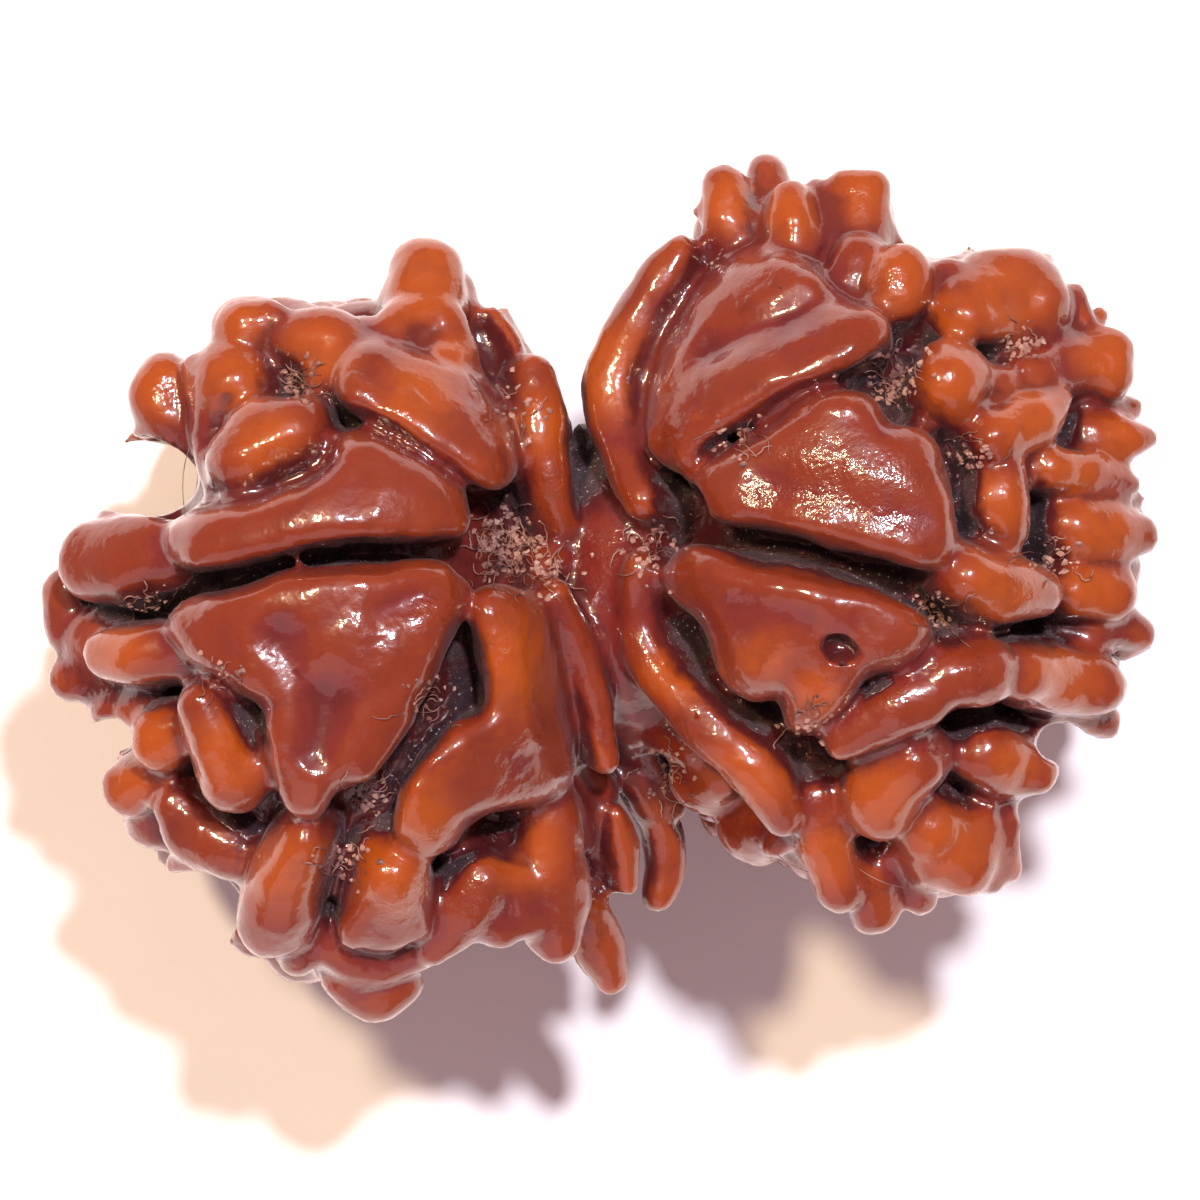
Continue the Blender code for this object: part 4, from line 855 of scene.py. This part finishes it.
def bulge(mesh, rounds):
    """How many millimetres each vertex stands out from the skin around it: below 0 in hollows."""
    points = rows(mesh.vertices, "co", 3)
    first, second = rows(mesh.edges, "vertices", 2, np.int32).T
    count = len(points)
    links = np.bincount(first, minlength=count) + np.bincount(second, minlength=count)
    smooth = points.astype(float)
    for turn in range(rounds):
        total = [np.bincount(first, smooth[second, axis], count)
                 + np.bincount(second, smooth[first, axis], count) for axis in range(3)]
        smooth = 0.5 * smooth + 0.5 * np.stack(total, axis=1) / np.maximum(links, 1)[:, None]
    return np.sum((points - smooth) * rows(mesh.vertices, "normal", 3), axis=1) / MM


def near_spots(points, spots):
    """From 0 to 1, how near the points lie to spots of the plan, each (x, y, size in mm)."""
    turn = np.array(Matrix.Rotation(math.radians(LIE_ANGLE), 3, "Z"))
    plan = (points / MM + np.array((*PLAN_CENTRE, 0))) @ turn.T
    nearest = np.zeros(len(points))
    for x, y, size in spots:
        away = np.hypot(plan[:, 0] - x, plan[:, 1] - y) / size
        nearest = np.maximum(nearest, np.clip(SPOT_FADE - SPOT_FADE * away, 0, 1))
    return nearest * (points[:, 2] > MIDDLE_HEIGHT * MM)


def store(mesh, name, values):
    """Keeps one number for each vertex, for the material to read."""
    layer = mesh.attributes.new(name, "FLOAT", "POINT")
    layer.data.foreach_set("value", np.asarray(values, dtype=np.float32))


skin_points = rows(stone.data.vertices, "co", 3)
skin_tree = ray_tree(stone.data)
store(stone.data, "crumpled", near_spots(skin_points, CRUMPLED_SPOTS))
store(stone.data, "orange", near_spots(skin_points, ORANGE_SPOTS))
store(stone.data, "bulge", bulge(stone.data, CURVATURE_ROUNDS))
store(stone.data, "thin", thinness(stone.data, skin_tree, THIN_REACH))
store(stone.data, "open", openness(stone.data, skin_tree, OPENNESS_REACH))
print("points with numbers:", len(skin_points))

# %% [markdown]
# ## The waxed finish
#
# The petals are red brown and the knobs and bars orange, under a coat of wax. Light
# and shade are painted into that colour too: it is more orange where the skin bulges
# or the stone is thin, as painted light and glow, and deeper red in hollows and darker
# down the sides of the grooves, as painted shade. The groove floors are hardly waxed:
# they are rough, flecked with tan fibre and pale painted glints, and nearly black with
# dirt and painted shade. Light goes a little way into the stone, which the subsurface
# part of the shader gives. A clear coat gives the sharp highlights, small bumps break
# them up into sparkles, and a sheen lays a pink veil.

# %% Node helpers
def new_material(name):
    """A material with a Principled shader, and its node tree."""
    made = bpy.data.materials.new(name)
    made.use_nodes = True
    return made, made.node_tree


def add_node(tree, kind, values=None, **settings):
    """A node with its settings, and the values of its unlinked sockets."""
    node = tree.nodes.new(kind)
    for name, value in settings.items():
        setattr(node, name, value)
    for name, value in (values or {}).items():
        node.inputs[name].default_value = value
    return node


def wave(tree, size, detail=3.0, roughness=0.55):
    """A noise pattern on the object's own coordinates, with a size in millimetres."""
    place = add_node(tree, "ShaderNodeTexCoord")
    pattern = add_node(tree, "ShaderNodeTexNoise",
                       {"Scale": 1 / (size * MM), "Detail": detail, "Roughness": roughness})
    tree.links.new(place.outputs["Object"], pattern.inputs["Vector"])
    return pattern.outputs["Fac"]


def ramp(tree, value, low, high, start=0.0, end=1.0):
    """A value's range from low to high, stretched smoothly to start and end."""
    node = add_node(tree, "ShaderNodeMapRange", {"From Min": low, "From Max": high, "To Min": start,
                                                 "To Max": end}, interpolation_type="SMOOTHSTEP")
    tree.links.new(value, node.inputs["Value"])
    return node.outputs["Result"]


def blend(tree, factor, first, second):
    """Two colours mixed by a factor; a colour is four numbers or a socket."""
    node = add_node(tree, "ShaderNodeMix", data_type="RGBA")
    tree.links.new(factor, node.inputs["Factor"])
    for socket, colour in ((node.inputs["A"], first), (node.inputs["B"], second)):
        if isinstance(colour, tuple):
            socket.default_value = colour
        else:
            tree.links.new(colour, socket)
    return node.outputs["Result"]


def arithmetic(tree, kind, first, second):
    """Two values put together by one operation; a value is a number or a socket."""
    node = add_node(tree, "ShaderNodeMath", operation=kind)
    for socket, value in zip(node.inputs, (first, second)):
        if isinstance(value, (int, float)):
            socket.default_value = value
        else:
            tree.links.new(value, socket)
    return node.outputs[0]


def times(tree, first, second):
    """The product of two values."""
    return arithmetic(tree, "MULTIPLY", first, second)


def plus(tree, first, second):
    """The sum of two values."""
    return arithmetic(tree, "ADD", first, second)


def stored(tree, name):
    """A number stored on the skin."""
    return add_node(tree, "ShaderNodeAttribute", attribute_name=name).outputs["Fac"]


# %% Colour of the waxed stone
def stone_colour(tree, seen, dirt_and_shade, uneven):
    """Red brown and orange over the stone, with painted light and glow on bulges and thin lobes,
    painted shade in hollows and down the grooves, and dirt, fibre and painted glints on the groove
    floors.
    """
    # Painted light by the skin's bulge: bulges are painted more orange and brighter, as lit and
    # glowing.
    raised = plus(tree, stored(tree, "bulge"), ramp(tree, wave(tree, 2.4), 0.3, 0.7, -0.05, 0.05))
    colour = blend(tree, ramp(tree, raised, 0.0, 0.12), RED_BROWN, ORANGE_BROWN)
    orange_and_painted_light = arithmetic(tree, "MAXIMUM", stored(tree, "orange"),
                        ramp(tree, raised, 0.16, 0.40, 0.0, 0.45))
    colour = blend(tree, times(tree, orange_and_painted_light, 0.62), colour, KNOB_ORANGE_AND_PAINTED_LIGHT)
    # Painted shade: hollows of the skin are painted deeper red.
    colour = blend(tree, ramp(tree, raised, 0.0, -0.12, 0.0, 0.6), colour, DEEP_RED_TONE_AND_SHADE)
    # Painted glow: thin parts that are open to the outside are painted orange, as light shining through
    # them.
    thin = times(tree, ramp(tree, stored(tree, "thin"), 0.2, 0.9), ramp(tree, seen, 0.6, 0.9))
    colour = blend(tree, times(tree, thin, 0.4), colour, KNOB_ORANGE_AND_PAINTED_LIGHT)
    # A random deeper tone of the stone, by noise.
    colour = blend(tree, ramp(tree, wave(tree, 1.1), 0.5, 0.75, 0.0, 0.3), colour, DEEP_RED_TONE_AND_SHADE)
    # Painted shade: darker down the sides of the grooves, by how little of the outside a point sees.
    colour = blend(tree, ramp(tree, uneven, 0.74, 0.38), colour, GROOVE_SIDE_SHADE)
    fibrous = ramp(tree, wave(tree, 0.25, 5.0, 0.7), 0.52, 0.72, 0.0, 0.7)
    # Painted glints: pale specks on the groove floors.
    painted_glints = ramp(tree, wave(tree, 0.12, 2.0, 0.5), 0.66, 0.72)
    floor_colour = blend(tree, painted_glints, blend(tree, fibrous, GROOVE_FLOOR_DIRT_AND_SHADE, FIBRE_TAN), PAINTED_GLINT)
    return blend(tree, dirt_and_shade, colour, floor_colour)


# %% Relief and finish of the waxed stone
def stone_relief(tree, dirt_and_shade):
    """Crumpled wax, slow waves, a fine grain, and rough dirt in the grooves."""
    crumpled = arithmetic(tree, "MAXIMUM", stored(tree, "crumpled"),
                          ramp(tree, wave(tree, 2.6), 0.5, 0.66, 0.05, 0.7))
    height = times(tree, wave(tree, 0.7, 4.0, 0.6), times(tree, crumpled, 3.0))
    height = plus(tree, height, times(tree, wave(tree, 1.1), 1.5))
    height = plus(tree, height, times(tree, wave(tree, 0.2, 2.0), 0.2))
    return plus(tree, height, times(tree, dirt_and_shade, times(tree, wave(tree, 0.16, 6.0, 0.75), 7.0)))


def waxed_stone():
    """Waxed red brown and orange stone with rough grooves, dark with dirt and painted shade."""
    made, tree = new_material("waxed_stone")
    shader = tree.nodes["Principled BSDF"]
    seen = stored(tree, "open")
    uneven = plus(tree, seen, ramp(tree, wave(tree, 0.7), 0.3, 0.7, -0.06, 0.06))
    # Dirt and painted shade: where a point sees little of the outside, its colour goes to the dark
    # groove floor.
    dirt_and_shade = ramp(tree, uneven, 0.38, 0.18)
    tree.links.new(stone_colour(tree, seen, dirt_and_shade, uneven), shader.inputs["Base Color"])
    rough = add_node(tree, "ShaderNodeMix", {"B": 0.6}, data_type="FLOAT")
    tree.links.new(dirt_and_shade, rough.inputs["Factor"])
    tree.links.new(ramp(tree, wave(tree, 1.6), 0.35, 0.65, 0.24, 0.4), rough.inputs["A"])
    tree.links.new(rough.outputs["Result"], shader.inputs["Roughness"])
    tree.links.new(ramp(tree, dirt_and_shade, 0.0, 1.0, 0.95, 0.1), shader.inputs["Coat Weight"])
    for name, value in WAX.items():
        shader.inputs[name].default_value = value
    bump = add_node(tree, "ShaderNodeBump", BUMP)
    tree.links.new(stone_relief(tree, dirt_and_shade), bump.inputs["Height"])
    tree.links.new(bump.outputs["Normal"], shader.inputs["Normal"])
    tree.links.new(bump.outputs["Normal"], shader.inputs["Coat Normal"])
    return made


stone.data.materials.clear()
stone.data.materials.append(waxed_stone())
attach(stone, "root")
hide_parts("twin_bead")
print("finish:", stone.data.materials[0].name)

# %% [markdown]
# ## Dried fibre in the grooves
#
# Threads and crumbs of dried fruit are still caught between the lobes, most of all in a
# mat over the left bead's hole. A thread wanders over the plan in short steps, and a
# ray from above sets each step down on the stone. All threads are splines of one curve
# with a bevel, turned into a mesh. Three longer hairs bow out at the rim. Crumbs are
# small uneven flakes.

# %% Threads, hairs and crumbs
def over_plan(x, y, height):
    """The point in metres at a height over a point of the plan."""
    turned = Matrix.Rotation(math.radians(-LIE_ANGLE), 3, "Z") @ Vector((x, y, 0))
    return Vector(((turned.x - PLAN_CENTRE[0]) * MM, (turned.y - PLAN_CENTRE[1]) * MM, height))


def on_skin(x, y, lift):
    """The point of the finished stone under a point of the plan, lifted a little; None beside it."""
    found = skin_tree.ray_cast(over_plan(x, y, 30 * MM), Vector((0, 0, -1)))[0]
    if found is None or found.z < MIDDLE_HEIGHT * FIBRE_LEVEL * MM:
        return None
    return found + Vector((0, 0, lift * MM))


def wander(draw, x, y):
    """The points of one thread that starts at a point of the plan."""
    heading = draw.uniform(0, 2 * math.pi)
    step = draw.uniform(*THREAD_STEP)
    points = []
    for i in range(THREAD_STEPS):
        lift = draw.uniform(0.0, THREAD_LIFT) + THREAD_ARCH * math.sin(math.pi * i / THREAD_STEPS)
        points.append(on_skin(x, y, lift))
        heading += draw.uniform(-THREAD_TURN, THREAD_TURN)
        x += step * math.cos(heading)
        y += step * math.sin(heading)
    return points


def hair(line):
    """The points of a hair that bows over from its first to its last point."""
    first, last = on_skin(*line[0], 0.0), on_skin(*line[2], 0.0)
    if first is None or last is None:
        return []
    bow = over_plan(*line[1], max(first.z, last.z) + HAIR_ARCH * MM)
    shares = [i / HAIR_STEPS for i in range(HAIR_STEPS + 1)]
    return [first * (1 - f) ** 2 + bow * 2 * f * (1 - f) + last * f ** 2 for f in shares]


def add_thread(curve, points, radius):
    """Adds one thread to the curve, thinner at its ends."""
    points = [point for point in points if point is not None]
    if len(points) < 3:
        return
    spline = curve.splines.new("POLY")
    spline.points.add(len(points) - 1)
    for i, (spot, point) in enumerate(zip(spline.points, points)):
        spot.co = (*point, 1)
        spot.radius = radius * (0.5 + 0.5 * math.sin(math.pi * (i + 0.5) / len(points)))


def add_crumb(bm, draw, point):
    """Adds an uneven flake of a random size and turn."""
    size = draw.uniform(*CRUMB_SIZES) * MM
    flake = bmesh.ops.create_icosphere(bm, subdivisions=1, radius=size)["verts"]
    tilt = Matrix.Rotation(draw.uniform(-CRUMB_TILT, CRUMB_TILT), 3, "X")
    turn = tilt @ Matrix.Rotation(draw.uniform(0, 6.28), 3, "Z")
    for vert in flake:
        vert.co *= draw.uniform(*CRUMB_SHRINK)
        vert.co = point + turn @ (vert.co * Vector(CRUMB_SHAPE))


# %% Lay the fibre down
draw = random.Random(FIBRE_SEED)
strands = bpy.data.curves.new("threads", "CURVE")
strands.dimensions = "3D"
strands.bevel_depth = THREAD_RADIUS * MM
strands.bevel_resolution = 0
strands.use_fill_caps = True
crumbs = bmesh.new()
for x, y, size, thread_count, crumb_count in FIBRE_MATS:
    for i in range(thread_count):
        thread = wander(draw, draw.gauss(x, size * 0.5), draw.gauss(y, size * 0.5))
        add_thread(strands, thread, draw.uniform(*THREAD_WIDTHS))
    for i in range(crumb_count):
        spot = on_skin(draw.gauss(x, size * 0.5), draw.gauss(y, size * 0.5), 0.02)
        if spot is not None:
            add_crumb(crumbs, draw, spot)
for line in HAIRS:
    add_thread(strands, hair(line), HAIR_WIDTH)
tubes = bpy.data.objects.new("threads", strands)
bpy.context.scene.collection.objects.link(tubes)
shown = bpy.data.meshes.new_from_object(tubes.evaluated_get(bpy.context.evaluated_depsgraph_get()))
bpy.data.objects.remove(tubes)
crumbs.from_mesh(shown)
fibre_mesh = bpy.data.meshes.new("dried_fibre")
crumbs.to_mesh(fibre_mesh)
crumbs.free()
fibre = bpy.data.objects.new("dried_fibre", fibre_mesh)
bpy.context.scene.collection.objects.link(fibre)
dry, tree = new_material("dried_fibre")
tint = blend(tree, ramp(tree, wave(tree, 1.4), 0.4, 0.6), THREAD_BROWN, THREAD_PALE)
tint = blend(tree, ramp(tree, wave(tree, 0.5), 0.55, 0.65), tint, THREAD_DARK)
tree.links.new(tint, tree.nodes["Principled BSDF"].inputs["Base Color"])
tree.nodes["Principled BSDF"].inputs["Roughness"].default_value = 0.5
fibre.data.materials.append(dry)
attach(fibre, "root")
print("threads and crumbs:", len(fibre_mesh.polygons), "faces")

# %% [markdown]
# ## The floor, the light and the camera
#
# The stone lies on a white table in strong light. Two lamps make its two shadows: a
# cool one from the upper right and a warm one from the upper left, so the place that
# the cool lamp doesn't reach looks peach, and the place that neither reaches looks
# grey. A low wide glow from below the picture and a dim pink room fill the rest. The
# camera looks straight down from far away with a long lens, so the plan is seen almost
# without perspective.

# %% Floor
table = bmesh.new()
bmesh.ops.create_grid(table, x_segments=1, y_segments=1, size=FLOOR_HALF)
floor = new_object("floor", table)
white, tree = new_material("white_table")
shade = ramp(tree, wave(tree, 9.0), 0.3, 0.7)
tree.links.new(blend(tree, shade, *TABLE_WHITES), tree.nodes["Principled BSDF"].inputs["Base Color"])
tree.nodes["Principled BSDF"].inputs["Roughness"].default_value = 0.7
floor.data.materials.append(white)

# %% Lamps
def lamp(name, azimuth, elevation, strength, colour, angle):
    """Adds a far lamp whose light comes from an azimuth in the plan and an elevation, in degrees."""
    light = bpy.data.lights.new(name, "SUN")
    light.energy = strength
    light.color = colour
    light.angle = math.radians(angle)
    made = bpy.data.objects.new(name, light)
    bpy.context.scene.collection.objects.link(made)
    turn, rise = math.radians(azimuth - LIE_ANGLE), math.radians(elevation)
    towards = Vector((math.cos(turn) * math.cos(rise), math.sin(turn) * math.cos(rise), math.sin(rise)))
    made.rotation_euler = towards.to_track_quat("Z", "Y").to_euler()


for values in LAMPS:
    lamp(*values)
room = bpy.data.worlds.new("pale_room")
room.use_nodes = True
room.node_tree.nodes["Background"].inputs["Color"].default_value = ROOM_COLOUR
room.node_tree.nodes["Background"].inputs["Strength"].default_value = ROOM_STRENGTH
bpy.context.scene.world = room
print("lamps:", [values[0] for values in LAMPS])

# %% Camera
view = bpy.data.cameras.new("camera")
view.lens = LENS
view.sensor_width = SENSOR_WIDTH
view.clip_start = 0.01
view.clip_end = 10.0
camera = bpy.data.objects.new("camera", view)
bpy.context.scene.collection.objects.link(camera)
camera.location = (-PLAN_CENTRE[0] * MM, -PLAN_CENTRE[1] * MM,
                   (FRAME_LEVEL + LENS * FRAME_WIDTH / SENSOR_WIDTH) * MM)
camera.rotation_euler = (0, 0, math.radians(-LIE_ANGLE))
bpy.context.scene.camera = camera
bpy.context.scene.view_settings.view_transform = "Standard"
print("camera height:", round(camera.location.z, 3), "m")
